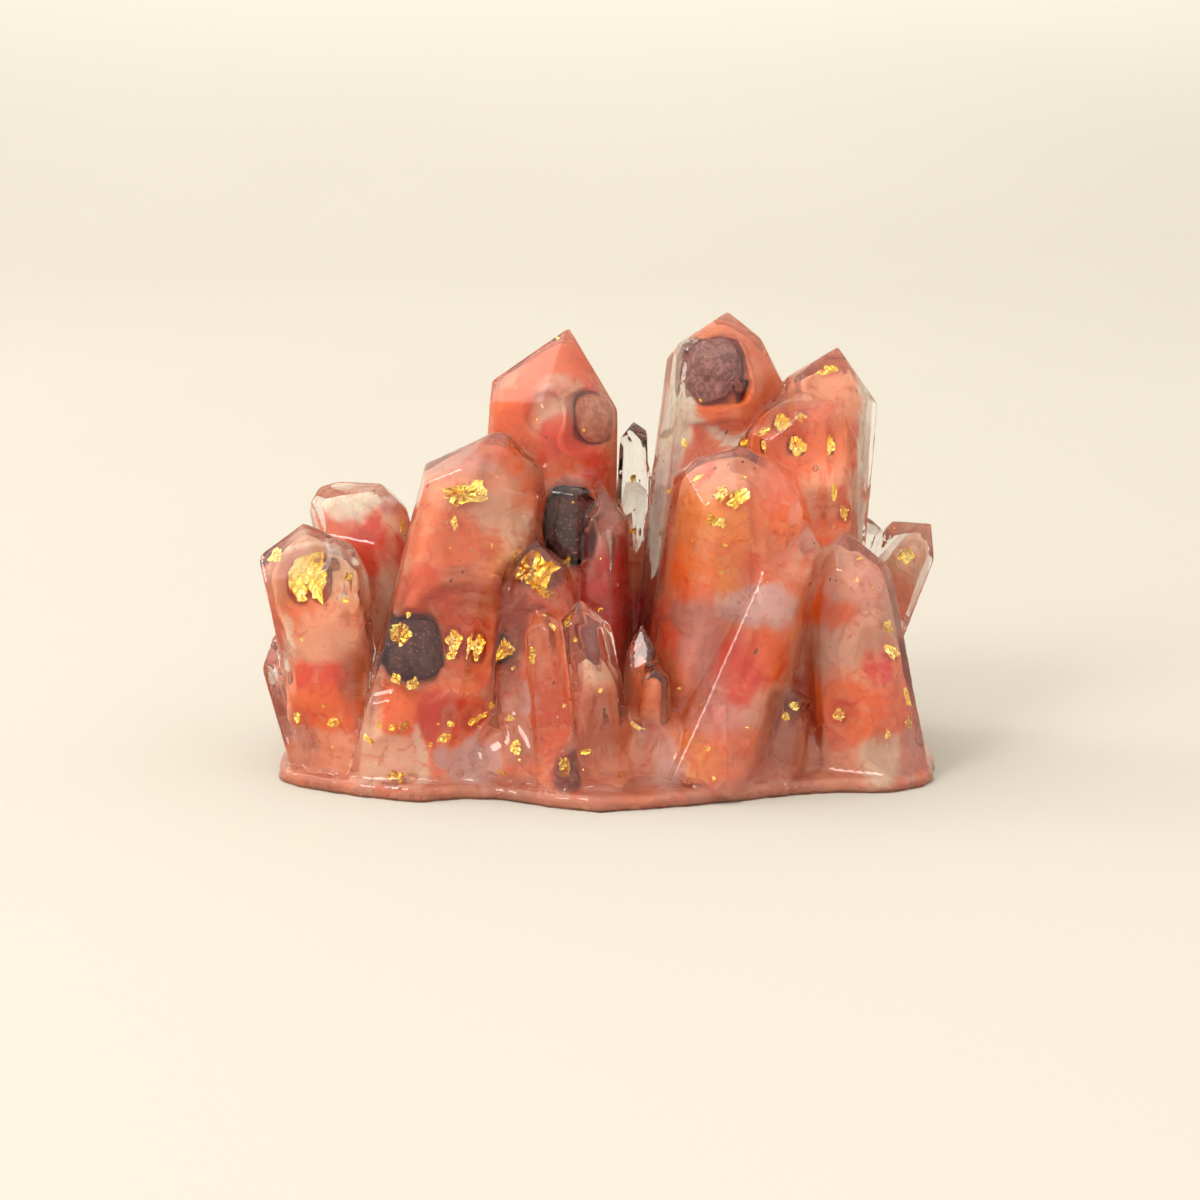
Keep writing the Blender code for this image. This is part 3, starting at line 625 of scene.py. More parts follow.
# Where each colour lies inside the resin: centre, reach, strength
ZONES = {
    "coral": (
        (-7, 4.3, 51.1, 4.7, 5.7, 3.7, 1.6), (1.5, 2.8, 41.4, 1.3, 4, 2.4, 1.5),
        (15.5, 7.1, 53.9, 3.9, 5, 4.2, 1), (21.6, 5.7, 51.2, 2.6, 6.3, 5.2, 2),
        (31.3, -2, 44.5, 2.6, 5, 4.2, 1.6), (22.7, -4.8, 43.6, 4.5, 5.3, 3.4, 2.2),
        (22.9, -13.2, 36.7, 2.9, 6.6, 5.5, 1.8), (-20.2, -12.4, 31.8, 6.6, 7.9, 3.4, 1.6),
        (6.3, -16, 13.3, 3.1, 4, 2.9, 2.2), (11.7, -13.3, 12, 1.8, 4.7, 3.9, 1.8),
        (15.8, -21.2, 6.1, 3.7, 4.4, 2.9, 1.8), (39.1, -10.7, 12.4, 1.6, 4.4, 3.7, 1.8),
        (40.1, 4.6, 21.8, 2.1, 4, 2.6, 1.8),
    ),
    "orange": (
        (-2.7, 7.3, 52.1, 1.7, 4.4, 3.7, 2.2), (-11.4, 1.4, 46.4, 3.9, 4.7, 3.4, 2.2),
        (-4.3, -1.2, 39.1, 3.4, 4.1, 1, 2.6), (16.8, 3, 47.5, 5.5, 6.6, 2.9, 2.6),
        (30.4, -4.6, 33.7, 2, 4.7, 3.9, 2.4), (26.2, -5.1, 44, 1.8, 4, 2.6, 1.8),
        (25.8, -8.6, 33.7, 2.6, 4.1, 3.4, 1.6), (11.7, -11.2, 28.2, 3.4, 4.7, 3.9, 1.8),
        (-12.9, -6.5, 42.5, 2.9, 4, 2.9, 3.4), (-10.1, -9.7, 36.9, 1.3, 4, 1.8, 2),
        (21.4, -17.5, 18.2, 2.4, 4, 3.1, 2.6), (28.1, -9.8, 21.7, 3.7, 4.4, 2.1, 1.6),
        (32.5, -14, 9.6, 6.3, 7.5, 3.1, 3.2), (-36, -13.8, 9.5, 4.7, 5.7, 3.1, 3.2),
        (-26.5, -17, 11.6, 3.7, 4.4, 3.7, 3.2),
    ),
    "crimson": (
        (-1.6, 5.1, 48.9, 1.3, 4, 1, 2.5), (2.6, -4.5, 22.4, 5, 8, 7.9, 2),
        (4.5, 8.2, 14.1, 2.9, 6.6, 5.5, 2.2), (37.1, -11.9, 14.6, 1.8, 4, 1, 2.2),
    ),
    "white": (
        (-6.8, 1.2, 48.9, 1.8, 4, 0.9, 3), (4.3, 14, 41.4, 1.8, 4, 1.8, 2.5),
        # (7.4, 11.6, 30.1) is partly the valley's own pale streaks and partly painted light: whiter than they
        # are, to make up for the shade between the points
        (4.4, 12.1, 37, 2.4, 4.7, 3.9, 2.6), (7.4, 11.6, 30.1, 2.6, 4, 2.9, 2.4),
        (10, 10.2, 47, 2.6, 8, 8.1, 3.2), (15.5, 2.6, 42.8, 3.7, 4.4, 1, 3.4),
        (34.7, 4.6, 43.6, 1.3, 8, 6.8, 2.2), (35.1, 5.2, 31.4, 1.6, 4, 2.4, 2.4),
        (-34.4, 8.8, 32.9, 4.7, 5.7, 2.6, 3),
    ),
    "milk": (
        # (8.8, 4.2, 29.8) is partly the valley's own cream and partly painted light: paler than it is, to make
        # up for the shade between the points
        (-7.3, -0.7, 46.3, 1.8, 4, 1.7, 2.6), (8.8, 4.2, 29.8, 2.4, 4.7, 3.9, 2.2),
        (-11.3, -10.9, 35.1, 3.7, 4.4, 3.4, 1.8), (35.7, -16.4, 4, 2.6, 4.1, 3.4, 3),
        (-32.2, -10.1, 24.6, 1.8, 4, 2.1, 2.2), (-40.4, -11.1, 16.9, 1, 4.7, 3.9, 2.6),
        (-22.7, -18.9, 5.1, 0.8, 4.1, 3.4, 2.4),
    ),
    "peach": (
        (-1.7, 2.1, 45.9, 4.5, 5.3, 3.7, 1.6), (33.4, -0.4, 36.3, 1.7, 4.1, 3.4, 1.8),
        (-28.1, 1.9, 21.1, 1, 8, 14.4, 2), (-29.1, -17, 9.1, 1.2, 8, 7.9, 1.8),
        (-2, -17.9, 21.9, 3.1, 4, 2.6, 2.2), (-1.1, -19.5, 17, 2, 4.7, 3.9, 2),
        (40.9, 5.6, 26.9, 3.4, 5, 4.2, 2), (-38.7, -6.5, 29.6, 5, 6, 2.9, 2),
        (-34.8, -9.2, 28.1, 3.1, 6, 5, 1.8), (-26.5, -18.7, 4.5, 4.2, 5, 2.9, 2.8),
    ),
    "red_orange": (
        (-5, -1.1, 42.3, 5.5, 6.6, 2.2, 2.2), (-0.1, 1.5, 39.2, 3.4, 4.1, 2.1, 1.8),
        (12.9, -7.1, 40.6, 2.5, 4, 1.8, 3.2), (-20.4, -18, 10.6, 2.4, 4.1, 3.4, 2.2),
        (17.6, -17.8, 16.2, 3.1, 4.4, 3.7, 3), (-36, -13.3, 13.6, 3.7, 4.4, 1.6, 2.6),
        (-29.7, 3.2, 28.2, 3.1, 4.1, 3.4, 2.8),
    ),
    "umber": (
        (-3.4, -4.8, 33.8, 3.7, 4.4, 3.7, 2), (-11.8, -13.8, 19.1, 2.9, 8, 7.9, 2),
    ),
    "mauve": (
        (0.5, -5, 32.7, 2, 5.3, 4.5, 2.2), (-17.9, -6.5, 41.1, 4.5, 5.3, 3.1, 2),
        (11.4, -12.3, 21.6, 3.4, 4.1, 2.1, 2.4), (25.5, -12.1, 30.5, 2.6, 4, 2.6, 2),
        (39.6, -13.8, 3.1, 1.4, 4.1, 3.4, 2.6),
    ),
    "maroon": (
        (-1.3, -5.9, 27.9, 2.9, 4, 2.9, 1.4), (-7.4, -12.5, 27.8, 4.2, 5, 2.4, 1.8),
        (-4.3, -22.9, 4.5, 1.8, 4, 2.6, 2.6),
    ),
    "lilac": (
        (8.3, 10.7, 35.5, 2.9, 6.3, 5.2, 2.2), (23.4, 1.3, 47.5, 2.9, 4, 1.6, 1.8),
        (19.3, -15.2, 23.5, 4.5, 5.3, 2.4, 2.8), (8.5, -19.4, 3.9, 2.4, 4, 2.6, 1.6),
        (-38.2, 10.2, 33.5, 1.8, 4, 1.8, 1.8), (-16.4, -18.4, 4.8, 3.1, 4, 3.1, 2),
        (-9.3, -17.1, 12, 1.6, 4, 1.6, 1.8),
    ),
    "salmon": (
        (29.1, 3.9, 49.1, 4.7, 5.7, 4.5, 2), (28.6, -5.8, 38.3, 3.1, 6.3, 5.2, 2),
        (15.9, -9.3, 40.2, 6.8, 8, 2.6, 2), (-9, -0.8, 41.4, 2, 4.7, 3.9, 2.2),
        (-15.6, -12, 37.2, 6.6, 7.9, 3.4, 1.8), (0.9, -20.3, 12.7, 1.2, 6.3, 5.2, 2),
        (30, -14.4, 2.6, 4.2, 5, 2.4, 1.8), (-41, -9.8, 25.9, 1.8, 4.7, 3.9, 1.8),
        (-34.4, -11.4, 19.7, 3.7, 4.7, 3.9, 2), (-37.4, -13.9, 4, 4.7, 5.7, 2.6, 1.8),
        (-41.9, -9.3, 12.4, 1.6, 7.9, 6.6, 2.2),
    ),
    "pink": (
        (25.8, 5.9, 50.3, 1.6, 4, 1.8, 1.8), (13.7, -13.4, 16.5, 3.1, 6, 5, 2.2),
        (13.3, -19.6, 9.6, 3.9, 4.7, 2.9, 2), (35.1, -8.5, 27.7, 2.9, 5, 4.2, 1.8),
        (-27.7, 7, 31.9, 1.8, 4, 1.3, 2),
    ),
    "light_orange": (
        (13.4, -13.3, 33.1, 4.7, 7.2, 6, 2.2), (16.2, -13.3, 26.8, 2.1, 4, 2.1, 2.2),
        (12, -20.8, 6, 4.2, 5, 2.9, 1.8),
    ),
    "rust": (
        (-22.1, -14, 24.3, 5.8, 6.9, 3.9, 2.2), (-16.6, -16.2, 18.7, 2.6, 6.3, 5.2, 1.6),
        (-23, -15.6, 17.5, 4.5, 5.3, 3.9, 1), (-6.5, -18.1, 20, 2.4, 4.4, 3.7, 2),
        (-6.5, -20.1, 12.1, 2.1, 7.2, 6, 1.8),
    ),
    "brown": (
        (-17.3, -15.2, 23.8, 3.4, 5.3, 4.5, 1.8), (-0.8, -21.4, 9.2, 3.4, 6.6, 5.5, 1.8),
        (-32.1, -13, 12.4, 1.2, 6.9, 5.8, 1.6),
    ),
    "dusty": (
        (-12.6, -15.1, 11.5, 3.4, 5.3, 4.5, 1.8), (5.1, -18.8, 6.6, 4.2, 5, 3.7, 2),
        (23.1, -16.5, 8.1, 2.1, 5.7, 4.7, 2.2), (-10.3, -18.4, 6.7, 2.9, 4, 2.6, 1.8),
        (0, 0, 0, 44, 26, 3.2, 1.2),
    ),
    "tan": (
        (30.6, -9.2, 27.9, 4.5, 5.3, 3.4, 2), (31, -11.7, 17.9, 5, 6, 2.4, 2),
        (37, -9.3, 21.7, 2.9, 6.6, 5.5, 1.8),
    ),
}

# Places where the colour lies deeper, and the resin over it is clear: centre, reach, how much deeper
CLEARINGS = (
    (8.5, 8, 47, 3.2, 9, 9, 9), (-6.6, 0.6, 46.4, 2.4, 3, 2.2, 2.5), (15.5, 3.5, 43.4, 4.5, 5, 1.3, 2.5),
    (36.4, 13, 28, 5, 6, 6, 9), (4.6, 15, 41, 4, 4, 6, 2), (36.5, 6, 42, 2.4, 6, 8, 3),
    (18, -9, 43, 9, 7, 2.6, 2), (22.5, -10, 37, 3, 6, 7, 2.4), (-12, -9, 38, 3.5, 4, 6, 1.6),
    (-16, -12, 32, 4, 4, 6, 1.4), (0.8, -4, 34, 3, 3.5, 3, 2), (-6.2, -18, 16, 3.4, 4, 9, 1.4),
    (0.6, -18, 19, 3, 4, 4, 1), (-17, -18, 7, 5, 3.5, 3.5, 1.8), (-26, -18, 5, 4, 3, 3, 1.4),
    (13, -18.5, 9, 2.6, 3, 5, 1.2), (17, -15.5, 18, 2.6, 3, 5, 1.2), (30, -10.5, 24, 5, 6, 6, 1.2),
    (23, -16, 8, 3, 3, 5, 1.4), (38, -15, 4, 3, 3, 4, 1.6), (-41.8, -8, 13, 2.5, 4, 6, 1.8),
    (-36, -10, 23, 5, 5, 5, 1.2), (-37, -11, 5, 5, 5, 4, 1),
)

# Places where the colour runs out to the edges: centre, reach, share
FILLS = (
    (-4.5, 6, 53, 8, 7, 6, 0.85), (-11, 3, 45, 4, 6, 6, 0.7), (15.5, 8, 54, 6, 7, 4.5, 0.8),
    (21, 8, 51, 5, 6, 5, 0.6), (30, 8, 51, 7, 7, 5, 0.9), (-39, -8, 31, 5, 6, 4, 0.7),
    (-42, -9, 15, 3, 5, 9, 0.6), (35.5, -7, 28, 5, 6, 6, 0.8), (1, -19, 14, 3.5, 5, 6, 0.7),
    (4.6, 14, 42, 4, 5, 7, 0.9), (-35, 9, 34, 7, 7, 4, 0.6), (7, -14, 14, 5, 6, 7, 0.95),
    (41, 7, 26, 6, 7, 9, 0.95),
)


TO_CAMERA = (0.0, -0.978, 0.208)   # the way from which the front is looked at
CHIP_NODES = ("dark_chip_left", "dark_chip_middle", "dark_chip_tall_right", "brown_chip_tall_left")
LEAF_NODES = tuple(name for name in sorted(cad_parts) if name.startswith("gold_leaf"))
PIT_LENGTH = 9.0               # of the opening in front of a sealed piece
PIT_MARGIN = 0.15              # round the piece, where the opening starts
PIT_LOWEST = 2.6               # so that the skirt stays whole
CHIP_FLARE, LEAF_FLARE = 0.25, 0.9      # how much an opening widens for each millimetre
DISC_THICKNESS = 0.75          # of the opening round a small flake, from its middle


def zone_weight(points, place):
    """The share of a zone at each point: nearly 1 inside its reach, and falling fast past it."""
    centre, reach = np.array(place, np.float32).reshape(2, 3)
    gap = (points - centre) / reach
    return np.exp(-0.9 * (gap ** 2).sum(-1) ** 3)


def tints(points):
    """The colour of the clouds at each point: the zones, with wide faint bands under them."""
    warp = [noise(points, 4.5, seed) + 0.6 * noise(points, 1.6, seed + 3) for seed in (21, 24, 27)]
    at = points + 1.2 * np.stack(warp, -1)
    wide = noise(points, 9.0, 31)
    other = noise(points, 6.0, 33)
    total = np.zeros((len(points), 3), np.float32)
    weight = np.zeros(len(points), np.float32)

    def lay(name, share):
        total[:] += share[:, None] * np.array(COLOURS[name], np.float32)
        weight[:] += share

    for name, level in (("milk", -0.75), ("red_orange", 0.7)):
        lay(name, 0.08 * np.exp(-12.0 * (other - level) ** 2))
    for name, level in (("coral", -0.6), ("salmon", -0.1), ("orange", 0.35), ("pink", 0.8)):
        lay(name, 0.06 * np.exp(-6.0 * (wide - level) ** 2) + 0.001)
    for name, rows in ZONES.items():
        for *place, strength in rows:
            lay(name, strength * zone_weight(at, place))
    return total / weight[:, None]


def rounded(field, reach):
    """The field averaged over its surroundings twice, which rounds its edges and corners."""
    half = max(1, round((math.sqrt(6 * (reach / GRID_STEP) ** 2 + 1) - 1) / 2))
    for axis in (0, 1, 2, 0, 1, 2):
        pad = [(0, 0)] * 3
        pad[axis] = (half + 1, half)
        total = np.cumsum(np.pad(field, pad, mode='edge'), axis, dtype=np.float64)
        ahead, behind = [slice(None)] * 3, [slice(None)] * 3
        ahead[axis], behind[axis] = slice(2 * half + 1, None), slice(0, -2 * half - 1)
        field = ((total[tuple(ahead)] - total[tuple(behind)]) / (2 * half + 1)).astype(np.float32)
    return field


def core_field(field, flakes, least, swing, seed, wider=0.0):
    """The clouds' surface: the casting's own, sunk by an uneven depth, and open where the resin is clear."""
    _, points = grid_below()
    depth = np.full(SHAPE, EVERYWHERE, np.float32)
    near = field < 0.0
    at = points[near]
    lumps = noise(at, 7.0, seed) * 0.75 + noise(at, 2.6, seed + 1) * 0.25
    corners = np.maximum(rounded(field, EDGE_DEPTH)[near] - field[near], 0)
    ragged = at + 0.8 * noise(at, 2.5, 43)[:, None]
    for *place, less in FILLS:
        corners *= 1 - less * zone_weight(ragged, place)
    sunk = least + swing * (1 + lumps) + corners
    for *place, more in CLEARINGS:
        sunk += more * zone_weight(ragged, place)
    skirt = 0.3 * least + 0.2 * wider
    sunk = skirt + (sunk - skirt) * np.clip((at[:, 2] - 1.2) / 2.5, 0, 1)
    depth[near] = field[near] + sunk
    depth = np.clip(depth, -FAR, FAR)

    way = np.array(TO_CAMERA)
    for name in CHIP_NODES + LEAF_NODES:
        low, high = (np.array(corner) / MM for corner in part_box(name))
        middle, half = (low + high) / 2, (high - low) / 2
        ahead = middle + PIT_LENGTH * way
        cut, at = window(np.minimum(middle, ahead) - half - 10, np.maximum(middle, ahead) + half + 10)
        along = np.clip((at - middle) @ way, 0.0, PIT_LENGTH)[..., None]
        flare = CHIP_FLARE if name in CHIP_NODES else LEAF_FLARE
        gap = (at - middle - along * way) / (half + PIT_MARGIN + flare * along)
        round_gap = ((np.abs(gap) ** 3).sum(-1)) ** (1 / 3) - 1.0
        round_gap[at[..., 2] < PIT_LOWEST] = 9.0
        depth[cut] = np.maximum(depth[cut], wider - (round_gap + 0.12 * noise(at, 1.8, 44)) * half.min())
    for centre, normal, size in flakes:
        cut, at = window(centre - size - 1, centre + size + 1)
        gap = at - centre
        high = gap @ normal
        wide = np.linalg.norm(gap - high[..., None] * normal, axis=-1)
        disc = np.sqrt((wide / (0.62 * size + 0.4)) ** 2 + (high / DISC_THICKNESS) ** 2) - 1.0
        depth[cut] = np.maximum(depth[cut], wider - disc * DISC_THICKNESS)
    return depth


# Gold leaf

# Flakes near the surface: where on the surface, width, height, turn in degrees, how deep
FLAKES = (
    (-42.3, -6.5, 28.8, 2.1, 2.7, 30, 0.6), (-32, -10.5, 26.7, 1.1, 1.2, 10, 0.7),
    (-26.5, 6.4, 30.4, 0.5, 2, -20, 0.5), (-17.6, -12.2, 38.1, 6.7, 4, 12, 0.8),
    (-18.7, -13, 34.3, 0.8, 2, 0, 0.9), (-9.3, -13.5, 28.1, 8, 6.1, 8, 0.6),
    (-6.8, -14, 25.7, 2.4, 2.4, 40, 1.2), (-4.3, -6.2, 28.1, 1.3, 1.7, 0, 0.9),
    (-25.5, -15.1, 20.4, 3.5, 2.7, -12, 0.6), (-24.6, -14.7, 22.6, 0.9, 0.9, 10, 0.5),
    (-19.1, -17.2, 17.9, 1.9, 1.1, 10, 1.2), (-26.2, -16.5, 14.7, 1.7, 1.2, -35, 0.5),
    (-24, -17.2, 14.1, 1.9, 2.1, 20, 0.8), (-39.4, -13.3, 8.6, 1.6, 1.7, 0, 0.6),
    (-34, -15.5, 8.7, 1.5, 1.2, 25, 0.6), (-28.3, -18.1, 9, 0.8, 1.2, 0, 0.7),
    (-26.6, -18.5, 8.8, 0.8, 1.2, -10, 0.7), (-24.7, -18.8, 9, 1.9, 1.5, 15, 0.6),
    (-29.9, -18.2, 7.1, 2.1, 1.1, -12, 0.6), (-25.9, -20.2, 2.4, 2.7, 2.4, 10, 0.6),
    (-19, -19.5, 9.5, 1.2, 0.8, 0, 0.5), (-19.7, -19.8, 7.7, 1.9, 1.5, 30, 0.6),
    (-13.9, -14.7, 10.7, 1.2, 0.9, -20, 0.5), (-11.3, -17.9, 9.8, 1.3, 1.1, 30, 0.6),
    (-10.7, -19.5, 6.2, 1.6, 1.7, 0, 0.7), (-12.4, -19.2, 3.2, 1.7, 0.5, -38, 0.5),
    (-8.9, -18.3, 18.2, 0.9, 3.2, -4, 0.6), (-11.2, -15.9, 15.9, 0.7, 0.5, 0, 0.5),
    (-4.2, -17.6, 22.6, 1.9, 1.5, -15, 0.5), (-6, -17.4, 21.9, 0.8, 1.1, 0, 0.6),
    (-7, -15.8, 22.9, 0.7, 0.5, 0, 0.5), (0, -7.5, 21.7, 0.8, 0.7, 0, 0.5),
    (-3.8, -23.4, 5, 1.1, 2.4, 10, 1), (-1.8, -22.6, 6.8, 1.7, 1.1, 20, 0.7),
    (2.8, -23.6, 3.9, 1.1, 0.5, 0, 0.5), (9, 7.2, 41.6, 1.9, 1.9, 35, 1), (10.9, 3.4, 42, 0.8, 1.6, 15, 1),
    (8.4, 8.4, 38.8, 0.9, 0.7, 0, 1), (5, 11.4, 36, 0.7, 1.2, 0, 1), (9.1, 3, 35.7, 1.2, 0.7, 20, 1),
    (4.2, 10.1, 28.9, 0.7, 1.1, 0, 0.8), (15.4, -12.7, 38.4, 2.1, 2.4, 0, 0.6),
    (17.4, -14, 37.2, 2.9, 2.1, 30, 1.1), (14.7, -13.9, 34.4, 3.2, 1.6, -15, 0.6),
    (12.4, -9.7, 39.5, 0.8, 2.1, -25, 0.6), (21.2, -3, 44.7, 2, 2.1, 20, 0.6),
    (25.9, -4.7, 46.9, 1.1, 1.9, 20, 0.9), (30.7, -5.1, 36.8, 1.2, 2.4, -10, 0.7),
    (40.6, 4.4, 26.9, 1.2, 1.6, 0, 0.6), (41.1, 3.8, 25.8, 0.9, 1.1, 30, 0.7),
    (42.2, 4.5, 26.5, 1.1, 1.9, 0, 1.2), (33.7, -8.5, 28.9, 0.8, 0.5, 0, 0.5),
    (34.1, -9.6, 28.1, 0.5, 0.9, 0, 0.5), (33, -11.6, 26.7, 0.4, 0.8, 15, 0.5),
    (35.4, -10.8, 25, 0.5, 1.1, 10, 0.5), (37.4, -10.7, 20.1, 1.9, 1.7, 0, 0.7),
    (40.1, -11.4, 10.9, 0.9, 3.5, 10, 0.6), (40.3, -12.4, 7.7, 2.1, 1.9, 10, 0.6),
    (24.9, -16.5, 11.1, 1.3, 1.1, 20, 0.7), (23.8, -16.9, 9.8, 0.9, 1.1, 0, 0.7),
    (37.2, -15.8, 7.3, 1.1, 1.3, 0, 0.7), (13.6, -21.5, 6.8, 0.7, 0.8, 0, 0.8),
    (14.3, -22.9, 3.2, 0.7, 0.7, 0, 0.7), (29.2, 4.9, 51.3, 1.2, 0.8, 0, 0.6),
    (23.1, -3.2, 46, 0.8, 0.7, 0, 0.9), (32.2, -3.5, 33.9, 1.3, 1.6, 20, 0.9),
    (-4.3, -20.6, 12.2, 0.7, 0.5, 0, 0.6), (0, -21.2, 14.3, 0.5, 0.5, 0, 0.6),
    (-3.2, -19.1, 20.3, 0.5, 0.7, 0, 0.7), (-21.6, -19.6, 6.7, 0.7, 0.7, 0, 0.6),
    (-15.4, -16.2, 8.1, 0.7, 0.5, 0, 0.6), (10.3, -14, 12.5, 0.7, 0.5, 0, 0.7),
    (12.7, -18.3, 11.6, 0.5, 0.7, 0, 0.6), (2.5, -19.4, 12.6, 0.7, 0.5, 0, 0.6),
    (-32.8, -11.7, 23.9, 0.7, 0.7, 0, 0.7), (-38.6, -12.4, 18.8, 0.5, 0.5, 0, 0.6),
    (-35.8, -14.6, 10.6, 0.5, 0.7, 0, 0.7), (21.7, -18, 8.3, 0.5, 0.5, 0, 0.7),
    (15.9, -14, 31.5, 0.5, 0.5, 0, 0.7), (11.5, -11.7, 31.7, 0.5, 0.4, 0, 0.7),
    (18.5, -11.4, 40.1, 0.5, 0.5, 0, 0.7), (-2, 0.1, 44.2, 0.7, 0.5, 0, 0.7),
    (-8.5, -1.2, 45.7, 0.5, 0.5, 0, 0.7), (13.2, 3.6, 47.7, 0.5, 0.5, 0, 0.7),
)


def leaf_axes(normal, roll):
    """Across and up on a flake that faces this way and is turned in its plane."""
    side = Vector((0.0, 0.0, 1.0)).cross(normal)
    if side.length < 0.1:
        side = Vector((1.0, 0.0, 0.0))
    side.normalize()
    up = normal.cross(side)
    turn = math.radians(roll)
    return side * math.cos(turn) + up * math.sin(turn), up * math.cos(turn) - side * math.sin(turn)


def torn_leaf(rng, centre, side, up, width, height, crumple):
    """One flake of leaf: a torn outline between a few far corners, crumpled and creased."""
    normal = side.cross(up)
    spokes = 10 + int(5 * min(3.0, max(width, height)))
    rings = 2 if max(width, height) < 1.3 else 4
    corners = rng.randint(4, 6)
    far = [(i + rng.uniform(0.1, 0.75)) * math.tau / corners for i in range(corners)]
    lengths = [rng.uniform(0.8, 1.2) for _ in far]
    creases = [(rng.uniform(0, math.tau), rng.uniform(-0.5, 0.5), rng.uniform(-1, 1)) for _ in range(5)]

    def reach(angle):
        """How far the outline lies: a straight line from one far corner to the next."""
        after = next((i for i, a in enumerate(far) if a > angle), 0)
        a0, a1 = far[after - 1], far[after]
        span, part = (a1 - a0) % math.tau, (angle - a0) % math.tau
        if span > 2.8:
            return 0.7
        r0, r1 = lengths[after - 1], lengths[after]
        return r0 * r1 * math.sin(span) / (r0 * math.sin(part) + r1 * math.sin(span - part))

    points, faces = [centre], []
    for ring in range(1, rings + 1):
        for i in range(spokes):
            angle = math.tau * i / spokes
            r = max(0.3, reach(angle)) * ring / rings
            if ring == rings:
                r *= rng.uniform(0.78, 1.12)
            u, v = r * math.cos(angle), r * math.sin(angle)
            lift = rng.uniform(-0.35, 0.35)
            for direction, offset, amount in creases:
                lift += amount * abs(u * math.cos(direction) + v * math.sin(direction) - offset)
            points.append(centre + side * (u * width / 2) + up * (v * height / 2)
                          + normal * (lift * crumple * min(width, height)))
    for i in range(spokes):
        j = (i + 1) % spokes
        faces.append((0, 1 + i, 1 + j))
        for ring in range(rings - 1):
            a, b = 1 + ring * spokes, 1 + (ring + 1) * spokes
            faces += [(a + i, b + i, b + j), (a + i, b + j, a + j)]
    return [tuple(p) for p in points], faces


SMALL_FLAKES = 140
HIDDEN_FLAKES = 45
OPENED_SIZE = 0.6              # flakes larger than this have an opening in the clouds round them
LEAF_SPREAD = 1.15             # makes up for what the torn outline loses

# Bubbles near the surface: where on the surface, radius
BUBBLES = (
    (-31.5, -9, 32, 0.5), (1.6, -5, 24.5, 0.5), (28, -5, 40, 0.45), (-19.8, -14, 34.5, 0.35),
    (-16, -12.5, 30.5, 0.3), (12.5, -11, 38, 0.3),
)
SMALL_BUBBLES = 150
BUBBLE_COVER = 0.15            # of resin between a bubble and the surface

# Dark grains near the surface: where on the surface, size
GRAINS = (
    (14.5, -9.5, 41.2, 0.8), (16.2, -9.8, 41.6, 0.6), (18.4, -9.6, 41.9, 0.9), (19.8, -10, 41, 0.5),
    (23.5, -10.5, 26, 0.5), (25, -11, 26.2, 0.7), (26.6, -11, 26, 0.9), (28.2, -10.8, 26.1, 0.7),
    (29.6, -10.4, 26.3, 0.6), (30.4, -10.4, 26.2, 0.4), (-40.5, -8, 31, 0.6), (-18.5, -12.5, 26.5, 0.8),
    (-17, -12.5, 27.5, 0.6), (20, 3, 44.2, 0.8), (17.2, 3, 43.6, 0.9), (22.5, 3, 45.5, 0.5),
    (-6.5, -1, 43.4, 0.6), (13.5, -3, 33.8, 0.6), (8, -4, 24, 1.1), (19.8, -17, 18.2, 1.2),
    (33.5, 3.8, 48.5, 0.5), (30.6, -5.6, 44, 0.5), (-26.3, 6.4, 29, 0.5), (-31, 7, 36.5, 0.6),
)
SMALL_GRAINS = 60
GRAIN_DEPTH = 0.4
LOWEST = 1.0                   # of the bubbles and grains, above the flat underside

def tinted_layer(name, field, triangles):
    """A surface inside the resin, with the colour of the clouds at each of its points."""
    points, faces = level_surface(field)
    thing = mesh_object(name, points, faces)
    thin_out(thing, triangles)
    colours = tints(mesh_points(thing))
    layer = thing.data.color_attributes.new("tint", 'FLOAT_COLOR', 'POINT')
    layer.data.foreach_set("color", np.concatenate([colours, np.ones((len(colours), 1))], 1).ravel())
    return thing


def joined(name, sheets):
    """One object from many small flat-shaded sheets."""
    points, faces = [], []
    for more, around in sheets:
        faces += [tuple(i + len(points) for i in face) for face in around]
        points += [tuple(p) for p in more]
    thing = mesh_object(name, points, faces)
    thing.data.shade_flat()
    return thing


def under_skin(tree, spot, deep):
    """The place this deep under the skin where it is nearest to a spot, and the skin's direction there."""
    hit, normal, _, _ = tree.find_nearest(Vector(spot))
    return hit - normal * deep, normal


def scattered(rng, rows, count, corners, low, high):
    """The rows as places and sizes, and more of them anywhere on the skin."""
    more = [(corners[rng.randrange(len(corners))], rng.uniform(low, high)) for _ in range(count)]
    return [(row[:3], row[3]) for row in rows] + more


def flake_rows(rng, corners, tree):
    """Every flake: those with a place of their own, small ones all over, and more behind."""
    rows = list(FLAKES)
    for _ in range(SMALL_FLAKES):
        size = rng.uniform(0.2, 0.5)
        spot = corners[rng.randrange(len(corners))]
        if spot[2] > 34 and 0 < spot[0] < 9:    # the clear point in the valley has none
            continue
        rows.append((*spot, size, size * rng.uniform(0.6, 1.4), rng.uniform(0, 90), rng.uniform(0.3, 0.6)))
    shown = len(rows)
    while len(rows) < shown + HIDDEN_FLAKES:
        spot = Vector(corners[rng.randrange(len(corners))])
        _, normal, _, _ = tree.find_nearest(spot)
        if normal.dot(Vector(TO_CAMERA)) < 0.05 and spot.z > 4 and normal.z > -0.5:
            size = rng.choice((0.7, 0.9, 1.2, 1.6, 2.4, 3.6))
            rows.append((*spot, size, size * rng.uniform(0.6, 1.2), rng.uniform(0, 90), rng.uniform(0.5, 0.9)))
    return rows


